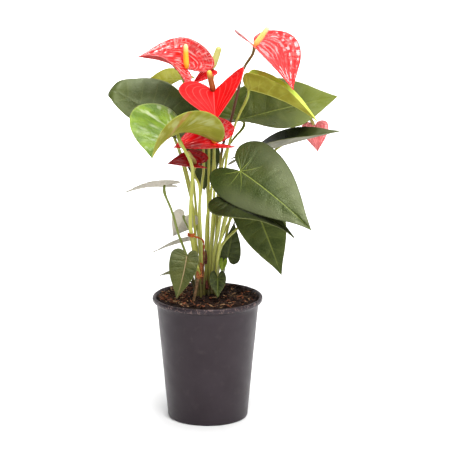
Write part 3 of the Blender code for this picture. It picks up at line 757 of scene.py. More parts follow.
def blade_piece(name, blade, outline, materials, thick, nodes, grid, relief):
    """A blade as a closed shell with its own relief on each side."""
    rows, columns = grid
    shares, outs, along, across = sheet_grid(blade, outline, rows, columns)
    frame, _, length = blade_frame(blade)
    turn = np.array(frame)
    points = bent_points(blade, along, across) @ turn[:3, :3].T + turn[:3, 3]
    share = np.broadcast_to(shares[:, None], along.shape)
    step = np.linalg.norm(np.diff(points, axis=0), axis=2)
    step = np.concatenate((step, step[-1:]), axis=0)
    lines = share * VEINS
    values = {
        "share": share,
        "out": np.broadcast_to(outs[None, :], along.shape),
        "along": along,
        "rib": np.abs(across) * length,
        "ahead": along * length,
        "vein": np.abs(lines - np.round(lines)) / VEINS * rows * step,
        "gap": step * rows / VEINS,
    }
    spots, normals, faces, edges, values = merged(points, values)
    if (normals @ np.array(frame.to_3x3() @ Vector((0, 0, 1)))).sum() < 0:
        normals = -normals
        faces = [face[::-1] for face in faces]
        edges = [(b, a) for a, b in edges]
    upper, lower = relief(values, spots, length)
    half = thick / 2 * (1 - MARGIN_THIN * np.abs(values["out"]) ** 6)
    top = spots + normals * (upper + half)[:, None]
    bottom = spots + normals * (lower - half)[:, None]
    count = len(spots)
    shell = faces + [tuple(index + count for index in face[::-1]) for face in faces]
    rim = [(b, a, a + count, b + count) for a, b in edges]
    indices = [0] * len(faces) + [1] * len(faces) + [0] * len(rim)
    both = {key: np.concatenate((numbers, numbers)) for key, numbers in values.items()}
    mesh_object(name, np.concatenate((top, bottom)), shell + rim, materials, nodes, both, indices)


def noise_at(spots, size, shift):
    """Noise at many places."""
    return np.array([noise.noise(Vector(spot / size) + Vector(shift)) for spot in spots])


def leaf_relief(values, spots, length, look, quilt, seed):
    """Relief of a leaf: grooves over its veins, soft swells between them and a wavy margin."""
    out = np.abs(values["out"])
    along = values["along"]
    gap = np.maximum(values["gap"], 0.01)
    swell = np.minimum(1.0, gap / FULL_GAP) * np.sin(np.pi * np.clip(values["vein"] / gap, 0, 0.5))
    swell = quilt * swell * (np.clip(out * 4, 0, 1) * np.clip((1 - out) * 5, 0, 1))
    rib = np.exp(-((values["rib"] / RIB_WIDTH) ** 2)) * (along > -0.02) * np.clip(1.2 - along, 0, 1)
    veins = np.exp(-((values["vein"] / VEIN_WIDTH) ** 2)) * np.clip(out * 6, 0, 1)
    veins = veins * np.clip((1 - out) * 2.5, 0, 1)
    turns = look.waves * values["share"] + seed
    margin = look.wave * out**3 * np.sin(2 * np.pi * turns + MARGIN_SHIFT * (values["out"] < 0))
    soft = SWELL_RISE * noise_at(spots, SWELL_SIZE, (seed, 0, 0)) * np.clip(out * 3, 0, 1)
    whole = (margin + soft) * length / 100
    return [whole + a * swell - b * rib - c * veins for a, b, c in (UPPER_SIDE, LOWER_SIDE)]


def spathe_relief(values, spots, length, look, seed):
    """Relief of a spathe: main veins that run parallel to the margin, with puckers across between them."""
    out = np.abs(values["out"])
    share = values["share"]
    drift = noise_at(spots, DRIFT_SIZE, (seed, 5, 0))
    lines = look.ribs * (out + RIDGE_DRIFT * drift)
    ridge = 0.5 - 0.5 * np.cos(2 * np.pi * lines)
    band = np.clip((out - PUCKER_START) * 3, 0, 1) * np.clip((1 - out) * 9, 0, 1)
    turns = look.ripples * share + PUCKER_DRIFT * drift + PUCKER_STEP * np.floor(lines)
    cross = np.sin(2 * np.pi * turns) * band
    ends = np.clip(share * 8, 0, 1) * np.clip((1 - share) * 7, 0, 1)
    ridges = RIDGE_SHARE * ridge * np.clip(out * 5, 0, 1)
    height = look.pucker * ends * (ridges + look.cross * cross + DRIFT_SHARE * drift)
    return height, height


def around(radius, height, sides):
    """The points of a level ring."""
    turns = [2 * math.pi * side / sides for side in range(sides)]
    return [(radius * math.cos(turn), radius * math.sin(turn), height) for turn in turns]


def skin(rings, sides):
    """The faces of a closed skin over rings of points, which come before its first and its last point."""
    steps = [(side, (side + 1) % sides) for side in range(sides)]
    base = (rings - 1) * sides
    starts = range(0, base, sides)
    faces = [(at + a, at + b, at + b + sides, at + a + sides) for at in starts for a, b in steps]
    first = rings * sides
    for a, b in steps:
        faces += [(first, b, a), (first + 1, base + a, base + b)]
    return faces


def tube_piece(name, points, radius, material, nodes=(), steps=60, sides=14, surface=None):
    """A closed tube along a smooth curve, whose radius is a function of the share of its length."""
    line = [smooth_point(points, index / steps) for index in range(steps + 1)]
    places = [0.0]
    for a, b in zip(line, line[1:]):
        places.append(places[-1] + (b - a).length)
    rings, shares, turns = [], [], []
    across = (line[1] - line[0]).orthogonal().normalized()
    for index, (middle, place) in enumerate(zip(line, places)):
        ahead = (line[min(index + 1, steps)] - line[max(index - 1, 0)]).normalized()
        across = (across - ahead * across.dot(ahead)).normalized()
        other = ahead.cross(across)
        share = place / places[-1]
        for side in range(sides):
            turn = 2 * math.pi * side / sides
            wide = radius(share) + (surface(share, turn, place) if surface else 0.0)
            rings.append(middle + (across * math.cos(turn) + other * math.sin(turn)) * max(wide, 0.02))
            shares.append(share)
            turns.append(side / sides)
    rings += [line[0], line[-1]]
    heights = [point[2] for point in rings]
    values = {"share": shares + [0.0, 1.0], "turn": turns + [0.0, 0.0], "height": heights}
    mesh_object(name, rings, skin(steps + 1, sides), [material], nodes, values)


class Paint:
    """The nodes of a material or of the world, made with short calls."""

    def __init__(self, name, kind="materials", shader="Principled BSDF"):
        self.holder = getattr(bpy.data, kind).new(name)
        self.holder.use_nodes = True
        self.tree = self.holder.node_tree
        self.shader = self.tree.nodes[shader]

    def add(self, kind, sockets=(), **settings):
        """A node with its settings, and with what its sockets are fed."""
        node = self.tree.nodes.new(kind)
        for key, setting in settings.items():
            setattr(node, key, setting)
        for key, source in dict(sockets).items():
            self.feed(node.inputs[key], source)
        return node

    def feed(self, socket, source):
        """Link a source to a socket, or set its value, or its colour from thousandths."""
        if isinstance(source, bpy.types.NodeSocket):
            self.tree.links.new(source, socket)
        else:
            is_colour = isinstance(source, tuple)
            socket.default_value = (*(part / 1000 for part in source), 1.0) if is_colour else source

    def value(self, key):
        """A point value that the mesh carries."""
        return self.add("ShaderNodeAttribute", attribute_name=key).outputs["Fac"]

    def outward(self):
        """How far out from the midrib a place of a blade is: 1 at the margin."""
        return self.maths("ABSOLUTE", self.value("out"))

    def place(self, stretch=(1, 1, 1)):
        """The place on the object, stretched."""
        node = self.add("ShaderNodeMapping", {"Vector": self.add("ShaderNodeTexCoord").outputs["Object"]})
        node.inputs["Scale"].default_value = stretch
        return node.outputs["Vector"]

    def noise(self, size, detail=3.0, stretch=(1, 1, 1), distortion=0.0):
        """Noise whose lumps are about a size in millimetres."""
        sockets = {"Vector": self.place(stretch), "Scale": 1 / (size * MM), "Detail": detail}
        return self.add("ShaderNodeTexNoise", {**sockets, "Distortion": distortion}).outputs["Fac"]

    def cells(self, size, feature="DISTANCE_TO_EDGE"):
        """The distance to the edges, or the middles, of cells of a size in millimetres."""
        sockets = {"Vector": self.place(), "Scale": 1 / (size * MM)}
        return self.add("ShaderNodeTexVoronoi", sockets, feature=feature).outputs["Distance"]

    def streaks(self, along, across):
        """Noise drawn out along the margin of a blade, or from its midrib outward."""
        sockets = {"X": self.times(self.value("share"), along), "Y": self.times(self.value("out"), across)}
        place = self.add("ShaderNodeCombineXYZ", sockets).outputs["Vector"]
        return self.add("ShaderNodeTexNoise", {"Vector": place, "Scale": 1.0}).outputs["Fac"]

    def maths(self, operation, first, second=0.0):
        """The result of an operation on one value or two."""
        return self.add("ShaderNodeMath", {0: first, 1: second}, operation=operation).outputs[0]

    def times(self, product, *factors):
        """The product of some values."""
        for factor in factors:
            product = self.maths("MULTIPLY", product, factor)
        return product

    def band(self, source, start, end, low=0.0, high=1.0):
        """A value that goes smoothly from low to high as the source goes from start to end."""
        if start > end:
            start, end, low, high = end, start, high, low
        sockets = {"Value": source, "From Min": start, "From Max": end, "To Min": low, "To Max": high}
        return self.add("ShaderNodeMapRange", sockets, interpolation_type="SMOOTHSTEP").outputs["Result"]

    def tint(self, colour, tone, *shares):
        """A colour, changed towards a tone by the product of some shares."""
        sockets = {"Factor": self.times(*shares), 6: colour, 7: tone}
        return self.add("ShaderNodeMix", sockets, data_type="RGBA").outputs[2]

    def mottle(self, first, second, size, start=0.3, end=0.7, detail=3.0):
        """A colour that goes from one to another in lumps of a size in millimetres."""
        return self.tint(first, second, self.band(self.noise(size, detail), start, end))

    def bump(self, *layers):
        """Bumps, each a height and its depth in millimetres, on the shader's normal."""
        normal = None
        for height, depth in layers:
            node = self.add("ShaderNodeBump", {"Height": height, "Distance": depth * MM})
            if normal:
                self.feed(node.inputs["Normal"], normal)
            normal = node.outputs["Normal"]
        self.feed(self.shader.inputs["Normal"], normal)

    def finish(self, colour, rough, **sockets):
        """Set the colour, the roughness and the shader's own sockets."""
        self.feed(self.shader.inputs["Base Color"], colour)
        self.feed(self.shader.inputs["Roughness"], rough)
        for key, setting in sockets.items():
            self.shader.inputs[key.replace("_", " ")].default_value = setting
        return self.holder


def vein_masks(paint, width):
    """Masks of a leaf's side veins, its midrib, its margin and the veins that leave its joint."""
    out = paint.outward()
    along, ahead, aside = (paint.value(key) for key in ("along", "ahead", "rib"))
    side = paint.band(paint.value("vein"), width, 0.0)
    side = paint.times(side, paint.band(out, 0.0, 0.08), paint.band(out, 1.0, 0.55))
    rib = paint.band(aside, 1.6 * width, 0.1)
    rib = paint.times(rib, paint.band(along, -0.03, 0.0), paint.band(along, 1.0, 0.35, 0.25, 1.0))
    basal = 0.0
    for angle, reach in BASAL_VEINS:
        cosine, sine = math.cos(math.radians(angle)), math.sin(math.radians(angle))
        away = paint.maths("SUBTRACT", paint.times(aside, cosine), paint.times(ahead, sine))
        outward = paint.maths("ADD", paint.times(ahead, cosine), paint.times(aside, sine))
        away = paint.maths("SUBTRACT", away, paint.times(outward, outward, BASAL_BEND))
        line = paint.band(paint.maths("ABSOLUTE", away), 1.1 * width, 0.1)
        fade = paint.band(outward, reach, 0.2 * reach, 0.0, 0.8)
        line = paint.times(line, paint.band(outward, 0.0, 1.0), fade)
        basal = paint.maths("MAXIMUM", line, basal)
    return side, rib, paint.band(out, 0.955, 0.995), basal


def painted_glint_mask(paint):
    """A mask of painted highlights: pale glints that fan out from the midrib of a young leaf."""
    return paint.times(paint.band(paint.streaks(17, 2.0), 0.52, 0.68), paint.band(paint.noise(30), 0.35, 0.6))


def leaf_paint(
    name, deep, light, vein, rib, edge, rough=0.31, veins=0.3, basal=0.3, width=0.8, gloss=0.28, coat=0.0,
    tip=None, outer=None, shine=None,
):
    """The upper side of a leaf: mottled green, with paler veins, midrib and margin. On some leaves light is
    painted too: a lighter tip, a painted sheen on the outer part, and pale glints as painted highlights.
    """
    paint = Paint(name)
    side, middle, margin, beside = vein_masks(paint, width)
    along = paint.value("along")
    colour = paint.mottle(deep, light, 17, 0.35, 0.68)
    # Painted light: lighter towards the tip, where these leaves lie in more light, partly also a paler tip
    if tip:
        colour = paint.tint(colour, tip, paint.band(along, 0.35, 0.95))
    # Painted sheen: the outer part of the blade is lighter and greyer
    if outer:
        far = paint.band(paint.outward(), 0.25, 0.8)
        colour = paint.tint(colour, outer, far, paint.band(along, -0.2, 0.3))
    # Painted highlights: pale glints that fan out from the midrib
    if shine:
        colour = paint.tint(colour, shine, painted_glint_mask(paint), 0.6)
    fine = paint.band(paint.cells(2.6), 0.0, 0.12)
    colour = paint.tint(colour, vein, paint.band(fine, 1.0, 0.0), 0.16)
    colour = paint.tint(colour, vein, side, veins)
    colour = paint.tint(colour, rib, beside, basal)
    colour = paint.tint(colour, rib, middle, 0.85)
    colour = paint.tint(colour, edge, margin, 0.55)
    paint.bump((paint.noise(1.1, 4.0), 0.10), (fine, 0.07))
    wear = paint.band(paint.noise(22, 4.0), 0.3, 0.7, rough - 0.06, rough + 0.09)
    return paint.finish(
        colour, wear, Specular_IOR_Level=gloss, Specular_Tint=LEAF_TINT, Coat_Weight=coat, Coat_Roughness=0.12
    )


def under_paint(name, deep, light, vein, veins=0.7, scar=None, shine=None):
    """The pale underside of a leaf, with raised veins, on one leaf a scar across it, and on one leaf pale
    glints that are painted highlights.
    """
    paint = Paint(name)
    side, middle, margin, beside = vein_masks(paint, 0.9)
    colour = paint.mottle(deep, light, 15, 0.35, 0.68)
    if scar:
        place, width, tone = scar
        wander = paint.times(paint.maths("SUBTRACT", paint.noise(9), 0.5), 0.12)
        away = paint.maths("SUBTRACT", paint.maths("ADD", paint.value("along"), wander), place)
        colour = paint.tint(colour, tone, paint.band(paint.maths("ABSOLUTE", away), width, 0.2 * width), 0.8)
    # Painted highlights: pale glints that fan out from the midrib
    if shine:
        colour = paint.tint(colour, shine, painted_glint_mask(paint), 0.5)
    colour = paint.tint(colour, vein, side, veins)
    colour = paint.tint(colour, vein, paint.maths("MAXIMUM", middle, paint.times(beside, 0.5)))
    colour = paint.tint(colour, vein, margin, 0.3)
    fine = paint.band(paint.cells(2.2), 0.0, 0.14)
    paint.bump((paint.noise(0.9, 4.0), 0.08), (fine, -0.08))
    return paint.finish(colour, 0.55, Specular_IOR_Level=0.06)


def spathe_paint(name, deep, bright, vein, rough=0.22, gloss=0.4, coat=0.7, bloom=0.0):
    """The waxy surface of a spathe, with fine veins and pits, and on some spathes pale streaks that are
    painted highlights.
    """
    paint = Paint(name)
    out = paint.outward()
    lines = paint.maths("FRACT", paint.times(out, 5.0))
    ring = paint.band(paint.maths("ABSOLUTE", paint.maths("SUBTRACT", lines, 0.5)), 0.40, 0.5)
    colour = paint.tint(paint.mottle(deep, bright, 12), vein, ring, 0.28)
    # Painted highlights: pale streaks along the margin, and short strokes near it
    if bloom:
        short = paint.times(paint.band(paint.streaks(75, 3), 0.54, 0.64), paint.band(out, 0.55, 0.75))
        both = paint.maths("MAXIMUM", paint.band(paint.streaks(9, 17), 0.54, 0.64), short)
        colour = paint.tint(colour, PAINTED_HIGHLIGHT, both, bloom)
    colour = paint.tint(colour, vein, paint.band(paint.value("rib"), 1.2, 0.1), 0.25)
    colour = paint.tint(colour, vein, paint.band(out, 0.965, 1.0), 0.3)
    paint.bump((paint.noise(2.2, 3.0), 0.16), (paint.noise(0.7, 2.0), 0.03))
    return paint.finish(
        colour, rough, Specular_IOR_Level=gloss, Coat_Weight=coat, Coat_IOR=1.6, Coat_Roughness=0.08
    )


def spadix_paint(name, foot, middle, tip):
    """The spadix: knobbly, and of another colour at its foot and its tip, with painted shade in the gaps
    between its florets.
    """
    paint = Paint(name)
    share = paint.value("share")
    colour = paint.tint(foot, middle, paint.band(share, 0.0, 0.35))
    colour = paint.tint(colour, tip, paint.band(share, 0.6, 0.97))
    dots = paint.cells(FLORET_SIZE, "F1")
    # Painted shade: darker in the gaps between the florets
    colour = paint.tint(colour, tuple(0.72 * part for part in middle), paint.band(dots, 0.1, 0.6), 0.35)
    paint.bump((dots, -0.25))
    return paint.finish(colour, 0.5, Subsurface_Weight=0.1, Subsurface_Radius=(0.002, 0.001, 0.0005))


def stalk_paint(name, low, high, top, turns=(0.02, 0.45, 0.86, 0.99)):
    """A stalk: finely streaked, with its own colours at its foot, along it and at its top, and painted shade
    near the soil, where the crown lies in shadow.
    """
    paint = Paint(name)
    share = paint.value("share")
    colour = paint.tint(low, high, paint.band(share, *turns[:2]))
    colour = paint.tint(colour, top, paint.band(share, *turns[2:]))
    # Painted shade: the stalks darken to brown towards the soil, where the crown lies in shadow
    colour = paint.tint(colour, CROWN_PAINTED_SHADE, paint.band(paint.value("height"), *PAINTED_SHADE_HEIGHTS, 0.0, 0.88))
    streaks = paint.noise(1.3, 3.0, (1, 1, 0.06))
    colour = paint.tint(colour, tuple(0.6 * part for part in high), paint.band(streaks, 0.3, 0.75), 0.3)
    paint.bump((streaks, 0.12), (paint.noise(0.6), 0.04))
    return paint.finish(colour, 0.38, Specular_IOR_Level=0.5)


def rough_paint(name, dark, light, size, depth, rough=0.85, key=None, ends=None):
    """Bark, root, soil or tie: mottled, and rough at a size in millimetres."""
    paint = Paint(name)
    colour = paint.mottle(dark, light, size, detail=5.0)
    if key:
        colour = paint.tint(colour, ends[0], paint.band(paint.value(key), 0.35, 0.75))
        colour = paint.tint(colour, ends[1], paint.band(paint.value(key), 0.8, 0.97))
    paint.bump((paint.noise(size / 2, 5.0), depth), (paint.noise(size / 6, 3.0), depth / 3))
    return paint.finish(colour, rough, Specular_IOR_Level=0.25)


def pot_paint():
    """The dark plastic of the pot: satin, with dust and scuffs on its rim."""
    paint = Paint("pot_plastic")
    neck = POT_HEIGHT - RIM_DEPTH
    body = paint.mottle(POT_DARK, POT_LIGHT, 30, detail=4.0)
    rim = paint.band(paint.value("height"), neck - WEAR_DEPTH, neck + 1.0)
    scuffs = paint.band(paint.noise(2.6, 6.0, distortion=0.6), 0.50, 0.68)
    colour = paint.tint(body, POT_SCUFF, rim, scuffs, 0.75)
    colour = paint.tint(colour, POT_DUST, paint.band(paint.noise(9, 6.0), 0.55, 0.8), 0.10)
    paint.bump((paint.noise(0.9, 2.0), 0.03), (paint.times(rim, paint.noise(2.6, 6.0)), 0.35))
    wear = paint.band(paint.noise(14, 5.0), 0.3, 0.7, 0.36, 0.46)
    return paint.finish(colour, wear, Specular_IOR_Level=0.36, Specular_Tint=POT_TINT)


def make_paints():
    """All the materials by name."""
    groups = (
        ("leaf", leaf_paint, LEAF_PAINTS), ("underside", under_paint, UNDER_PAINTS),
        ("spathe", spathe_paint, SPATHE_PAINTS), ("spadix", spadix_paint, SPADIX_PAINTS),
        ("stalk", stalk_paint, STALK_PAINTS), ("rough", rough_paint, ROUGH_PAINTS),
    )
    paints = {"pot": pot_paint()}
    for group, make, table in groups:
        for key, (*tones, others) in table.items():
            paints[key] = make(f"{group}_{key}", *tones, **others)
    return paints


def add_blades(paints):
    """Every leaf blade and spathe as a fine shell."""
    for index, name in enumerate([*LEAVES, *SMALL_LEAVES]):
        look = LEAF_LOOKS[name]
        small = name in SMALL_LEAVES
        quilt = look.quilt * (SMALL_QUILT if small else 1.0)
        relief = partial(leaf_relief, look=look, quilt=quilt, seed=index * LEAF_SEED)
        grid = SMALL_GRID if small else LEAF_GRID
        sides = [paints[look.upper], paints[look.lower]]
        blade_piece(
            f"blade_{name}", PLANT[name][0], LEAF_OUTLINE, sides, LEAF_THICK, [f"leaf_{name}"],
            grid, relief,
        )
    for index, (name, (blade, *_)) in enumerate(FLOWERS.items()):
        look = SPATHE_LOOKS[name]
        relief = partial(spathe_relief, look=look, seed=index * SPATHE_SEED)
        sides = [paints[look.upper], paints[look.lower]]
        blade_piece(
            f"bract_{name}", blade, SPATHE_OUTLINE, sides, BRACT_THICK, [f"spathe_{name}"],
            SPATHE_GRID, relief,
        )


def stalk_line(stalk, blade):
    """The points of a stalk's route, from the bottom of its hole into the underside of its blade."""
    _, normal, _ = blade_frame(blade)
    low = SOIL_LEVEL - HOLE_DEPTH + MOUND_HEIGHT
    ground = [(*stalk.root, low + rise) for rise in STALK_RISES]
    joint = Vector(blade.joint)
    near_end = joint - normal * STALK_STRAIGHT * min(1.0, stalk.top / STALK_THIN)
    return [Vector(point) for point in ground + list(stalk.route)] + [near_end, joint - normal * STALK_SINK]


def add_stalks(paints):
    """Every stalk: a leaf's has a sheathed foot and a knee below its blade, a flower's a flared top."""
    for name, (blade, *_, stalk) in PLANT.items():
        swell, place, width, sheath = PEDUNCLE_SWELL if name in FLOWERS else PETIOLE_SWELL

        def radius(share):
            knee = swell * stalk.top * math.exp(-(((share - place) / width) ** 2))
            base = sheath * stalk.foot * math.exp(-((share / SHEATH_LENGTH) ** 2))
            return stalk.foot + (stalk.top - stalk.foot) * share + knee + base

        if name in FLOWERS:
            piece, nodes, look = "peduncle", [f"flower_stalk_{name}"], SPATHE_LOOKS[name]
        else:
            nodes = [] if name in SMALL_LEAVES else [f"stalk_{name}"]
            piece, look = "petiole", LEAF_LOOKS[name]
        route = stalk_line(stalk, blade)
        tube_piece(f"{piece}_{name}", route, radius, paints[look.stalk], nodes, steps=72)


def add_spadices(paints):
    """Every spadix, with its florets in crossing spirals."""

    def florets(share, turn, place):
        round_it, up = FLORETS_AROUND * turn, FLORETS_UP * place
        return FLORET_RISE * math.cos(round_it + up) * math.cos(round_it - up) * min(1.0, (1 - share) * 9)

    for name, (blade, spadix, _) in FLOWERS.items():
        _, normal, _ = blade_frame(blade)
        slope = math.radians(sum(max(0.0, fold) for fold in blade.fold) / 2)
        joint, end = Vector(blade.joint), Vector(spadix.end)
        pointing = (end - joint).normalized()
        lean = pointing.angle(normal)
        reach = (SPATHE_THICK / 2 + SPADIX_GAP + SPADIX_FOOT * math.sin(lean)) / math.cos(lean)
        start = joint + pointing * (reach + SPADIX_FOOT * math.tan(slope) - SPADIX_SINK)

        def radius(share):
            rise = SPADIX_NECK + SPADIX_SWELL * min(1.0, share / SPADIX_RISE) ** 0.6
            body = 1.0 - SPADIX_TAPER * share**1.6
            cap = math.sqrt(max(0.0, 1 - max(0.0, (share - SPADIX_CAP) / CAP_LENGTH) ** 2))
            return spadix.radius * rise * body * max(cap, 0.05)

        middle = (start + end) / 2 + Vector((SPADIX_BEND, 0, 0)) * (1 if end.x > joint.x else -1)
        tube_piece(
            f"finger_{name}", [start, middle, end], radius, paints[SPATHE_LOOKS[name].spadix],
            [f"spadix_{name}"], steps=90, sides=42, surface=florets,
        )


def add_pot(paints):
    """The nursery pot, turned finely, with a wavy worn rim and drain holes."""
    neck = POT_HEIGHT - RIM_DEPTH
    inside = BASE_RADIUS - POT_WALL
    inset, rise = INNER_CORNER
    profile = [(FLOOR_RING, POT_FLOOR), (inside - inset, POT_FLOOR), (inside, POT_FLOOR + rise)]
    profile.append((BODY_TOP_RADIUS - POT_WALL, neck))
    profile += [(RIM_RADIUS + out, POT_HEIGHT + up) for out, up in RIM_PROFILE]
    profile += [(BODY_TOP_RADIUS + out, neck + up) for out, up in NECK_PROFILE]
    foot = [(BASE_RADIUS + out, up) for out, up in FOOT_PROFILE]
    (wide, top), (narrow, low) = profile[-1], foot[0]
    for share in (level / TAPER_LEVELS for level in range(1, TAPER_LEVELS)):
        profile.append((wide + (narrow - wide) * share, top + (low - top) * share))
    profile += [*foot, (FLOOR_RING, 0.0)]
    points = [point for radius, height in profile for point in around(radius, height, POT_SIDES)]
    points += [(0, 0, POT_FLOOR), (0, 0, 0)]
    worn = []
    for point in points:
        spot = Vector(point)
        if spot.z > neck - WEAR_DEPTH:
            out = Vector((spot.x, spot.y, 0)).normalized()
            up = Vector((0, 0, WEAR_UP * noise.noise(spot / WEAR_UP_SIZE)))
            spot += out * WEAR_OUT * noise.noise(spot / WEAR_OUT_SIZE) + up
        worn.append(spot)
    faces = [face[::-1] for face in skin(len(profile), POT_SIDES)]
    values = {"height": [point[2] for point in points]}
    pot = mesh_object("pot_shell", worn, faces, [paints["pot"]], ["pot"], values)
    cutters = bmesh.new()
    for index in range(DRAIN_HOLES):
        turn = 2 * math.pi * (index + 0.5) / DRAIN_HOLES
        place = Vector((DRAIN_RING * math.cos(turn), DRAIN_RING * math.sin(turn), 0)) * MM
        bmesh.ops.create_cone(
            cutters, cap_ends=True, segments=DRAIN_SIDES, radius1=DRAIN_RADIUS * MM,
            radius2=DRAIN_RADIUS * MM, depth=DRAIN_DEPTH * MM, matrix=Matrix.Translation(place),
        )
    drains = form_object("drains", cutters)
    cut = pot.modifiers.new("Drain", "BOOLEAN")
    cut.operation = "DIFFERENCE"
    cut.object = drains
    cut.solver = "EXACT"
    bpy.context.view_layer.update()
    graph = bpy.context.evaluated_depsgraph_get()
    holed = bpy.data.meshes.new_from_object(pot.evaluated_get(graph), depsgraph=graph)
    pot.modifiers.clear()
    pot.data = holed
    holed.set_sharp_from_angle(angle=math.radians(SHARP_ANGLE))
    bpy.data.objects.remove(drains, do_unlink=True)


def add_soil(paints):
    """The potting mix, whose surface is lumpy."""
    edge = soil_radius(SOIL_LEVEL - EDGE_DEPTH)
    points, tones = [], []
    for ring in range(1, SOIL_RINGS + 1):
        calm = min(1.0, (SOIL_RINGS - ring) / CALM_RINGS)
        for x, y, _ in around(edge * ring / SOIL_RINGS, 0, SOIL_SIDES):
            chunk = noise.cell(Vector((x / CHUNK_SIZE, y / CHUNK_SIZE, 0)))
            grain = noise.noise(Vector((x / GRAIN_SIZE, y / GRAIN_SIZE, 7))) * GRAIN_RISE
            points.append((x, y, soil_height(x, y) - SOIL_SINK + (chunk * CHUNK_RISE + grain) * calm))
            tones.append(chunk)
    low = POT_FLOOR + UNDER_GAP
    for radius, height in ((edge, SOIL_LEVEL - SIDE_DEPTH), (soil_radius(low) - UNDER_INSET, low)):
        points += around(radius, height, SOIL_SIDES)
    points += [(0, 0, soil_height(0, 0)), (0, 0, low)]
    tones += [PLAIN_TONE] * (len(points) - len(tones))
    faces = [(start, *rest[::-1]) for start, *rest in skin(SOIL_RINGS + 2, SOIL_SIDES)]
    mesh_object("potting_mix", points, faces, [paints["soil"]], ["soil"], {"tone": tones})


def add_chips(paints):
    """The bark chips that lie on the potting mix, clear of the stalks and the wall."""
    edge = soil_radius(SOIL_LEVEL - EDGE_DEPTH)
    stems = [stalk.root for *_, stalk in PLANT.values()]
    draw = random.Random(CHIP_SEED)
    form = bmesh.new()
    tone = form.verts.layers.float.new("tone")
    placed = 0
    while placed < CHIPS:
        radius = edge * math.sqrt(draw.random())
        turn = draw.uniform(0, 2 * math.pi)
        x, y = radius * math.cos(turn), radius * math.sin(turn)
        size = CHIP_SMALL + CHIP_SPREAD * draw.random() ** 3.0
        near_wall = radius > edge - 1.3 * size - WALL_ROOM
        if near_wall or any(math.hypot(x - a, y - b) < CHIP_ROOM + size for a, b in stems):
            continue
        shape = bmesh.ops.create_icosphere(form, subdivisions=1, radius=1.0)["verts"]
        long = draw.uniform(*CHIP_LONG)
        tilt = Matrix.Rotation(draw.uniform(0, 6.3), 3, "Z")
        tilt = tilt @ Matrix.Rotation(draw.uniform(-CHIP_TILT, CHIP_TILT), 3, "Y")
        shade = draw.random() ** 3.8
        if x < PALE_SIDE and draw.random() < PALE_SHARE:
            shade += PALE_LIFT
        middle = Vector((x, y, soil_height(x, y) + CHIP_RISE * size))
        for vertex in shape:
            rough = 1 + draw.uniform(-CHIP_ROUGH, CHIP_ROUGH)
            spot = Vector((vertex.co.x * long, vertex.co.y * CHIP_WIDE, vertex.co.z * CHIP_FLAT))
            spot = spot * size * rough
            vertex.co = (tilt @ spot + middle) * MM
            vertex[tone] = min(1.0, shade)
        placed += 1
    chips = form_object("bark_chips", form)
    chips.data.materials.append(paints["bark"])
    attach(chips, "root")


def add_roots(paints):
    """The aerial root in front, with the dry scales and stubs at the crown and the sticks on the soil."""

    def knotty(share, turn, place):
        return KNOT_RISE * noise.noise(Vector((math.cos(turn), math.sin(turn), place / KNOT_SIZE)))

    def add_bit(name, points, thick, taper, look):
        def radius(share):
            return thick * (taper[0] - taper[1] * share)

        tube_piece(name, points, radius, paints[look], steps=24, sides=10, surface=knotty)

    tube_piece(
        "brown_root", AERIAL_ROOT, lambda share: ROOT_RADIUS - ROOT_TAPER * share, paints["root"],
        ["aerial_root"], steps=50, sides=16, surface=knotty,
    )
    crown = []
    for blade, *_, stalk in PLANT.values():
        route = stalk_line(stalk, blade)
        crown += [(smooth_point(route, step / 80), stalk.foot) for step in range(60)]
    for index, (points, thick, look) in enumerate(CROWN_BITS):
        seated = []
        for spot in map(Vector, points):
            for _ in range(SET_BACK_STEPS):
                if min((spot - middle).length - foot for middle, foot in crown) < BIT_SEAT * thick:
                    break
                spot += Vector((0, SET_BACK, 0))
            seated.append(spot)
        add_bit(f"crown_bit_{index}", seated, thick, (1.1, 0.6), look)
    for index, (places, thick) in enumerate(SOIL_STICKS):
        points = [(x, y, soil_height(x, y) + STICK_SEAT * thick) for x, y in places]
        add_bit(f"stick_{index}", points, thick, (1, 0.4), "root")


def add_tie(paints):
    """The soft tie round the thick stalk, with its tail down to the crown."""
    blade, stalk = LEAVES["young_folded"]
    route = stalk_line(stalk, blade)
    spots = [smooth_point(route, step / 200) for step in range(201)]
    centre = min(spots, key=lambda spot: abs(spot.z - TIE_HEIGHT))
    ring = stalk.foot + TIE_RADIUS
    points = []
    for index in range(TIE_STEPS + 1):
        turn = TIE_TURNS * index / TIE_STEPS
        angle = math.pi + 2 * math.pi * turn
        rise = TIE_RISE * (TIE_TURNS / 2 - turn)
        points.append(centre + Vector((ring * math.cos(angle), ring * math.sin(angle), rise)))
    points += map(Vector, TIE_TAIL)

    def twisted(share, turn, place):
        fuzz = TIE_FUZZ * noise.noise(Vector((turn, place / 3, 0)))
        return TIE_STRAND * math.cos(2 * turn + place * TIE_PITCH) + fuzz

    tube_piece(
        "soft_tie", points, lambda share: TIE_RADIUS, paints["tie"], ["plant_tie"],
        steps=150, surface=twisted,
    )


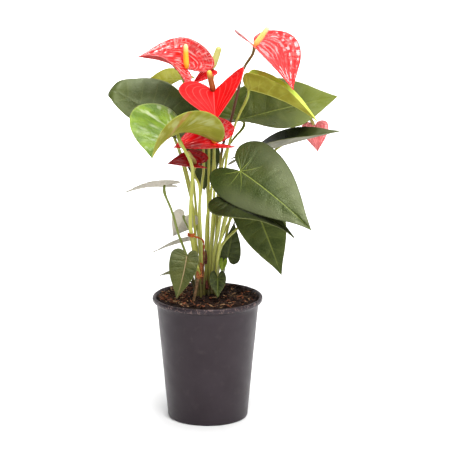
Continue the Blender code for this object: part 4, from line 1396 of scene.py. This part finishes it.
def add_stage():
    """The pale floor, the studio light and the camera."""
    form = bmesh.new()
    bmesh.ops.create_grid(form, x_segments=1, y_segments=1, size=FLOOR_REACH)
    ground = form_object("floor", form)
    ground.data.materials.append(Paint("floor_white").finish(FLOOR_WHITE, 0.6))
    ground.location.z = -FLOOR_GAP

    sky = Paint("studio", "worlds", "Background")
    around_it = sky.add("ShaderNodeSeparateXYZ", {0: sky.add("ShaderNodeTexCoord").outputs["Generated"]})
    fade = sky.band(around_it.outputs["Y"], SHADE_START, SHADE_END, FRONT_SHADE, 1.0)
    sky.feed(sky.shader.inputs["Color"], fade)
    sky.shader.inputs["Strength"].default_value = WORLD_LIGHT
    bpy.context.scene.world = sky.holder

    for name, place, aim, size, power, spread in LIGHTS:
        lamp = bpy.data.lights.new(name, "AREA")
        lamp.shape = "RECTANGLE"
        lamp.size, lamp.size_y = size
        lamp.energy = power
        lamp.spread = math.radians(spread)
        made = add_object(name, lamp)
        made.location = place
        made.rotation_euler = (Vector(aim) - Vector(place)).to_track_quat("-Z", "Y").to_euler()

    lens = bpy.data.cameras.new("camera")
    lens.sensor_width = SENSOR_WIDTH
    lens.lens = FOCAL_LENGTH
    lens.clip_end = VIEW_END
    camera = add_object("camera", lens)
    camera.location = CAMERA_PLACE
    camera.rotation_euler = (math.radians(CAMERA_TILT), 0, 0)
    bpy.context.scene.camera = camera
    bpy.context.scene.view_settings.view_transform = "Standard"


def main():
    """Dress the whole plant, and set the stage."""
    paints = make_paints()
    add_blades(paints)
    add_stalks(paints)
    add_spadices(paints)
    add_pot(paints)
    add_soil(paints)
    add_chips(paints)
    add_roots(paints)
    add_tie(paints)
    add_stage()


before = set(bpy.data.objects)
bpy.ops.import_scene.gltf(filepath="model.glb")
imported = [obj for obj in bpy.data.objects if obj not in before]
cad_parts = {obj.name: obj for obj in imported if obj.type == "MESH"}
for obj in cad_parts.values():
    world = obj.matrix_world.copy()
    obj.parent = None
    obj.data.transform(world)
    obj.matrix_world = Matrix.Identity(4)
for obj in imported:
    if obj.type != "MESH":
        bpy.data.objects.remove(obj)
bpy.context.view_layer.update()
main()
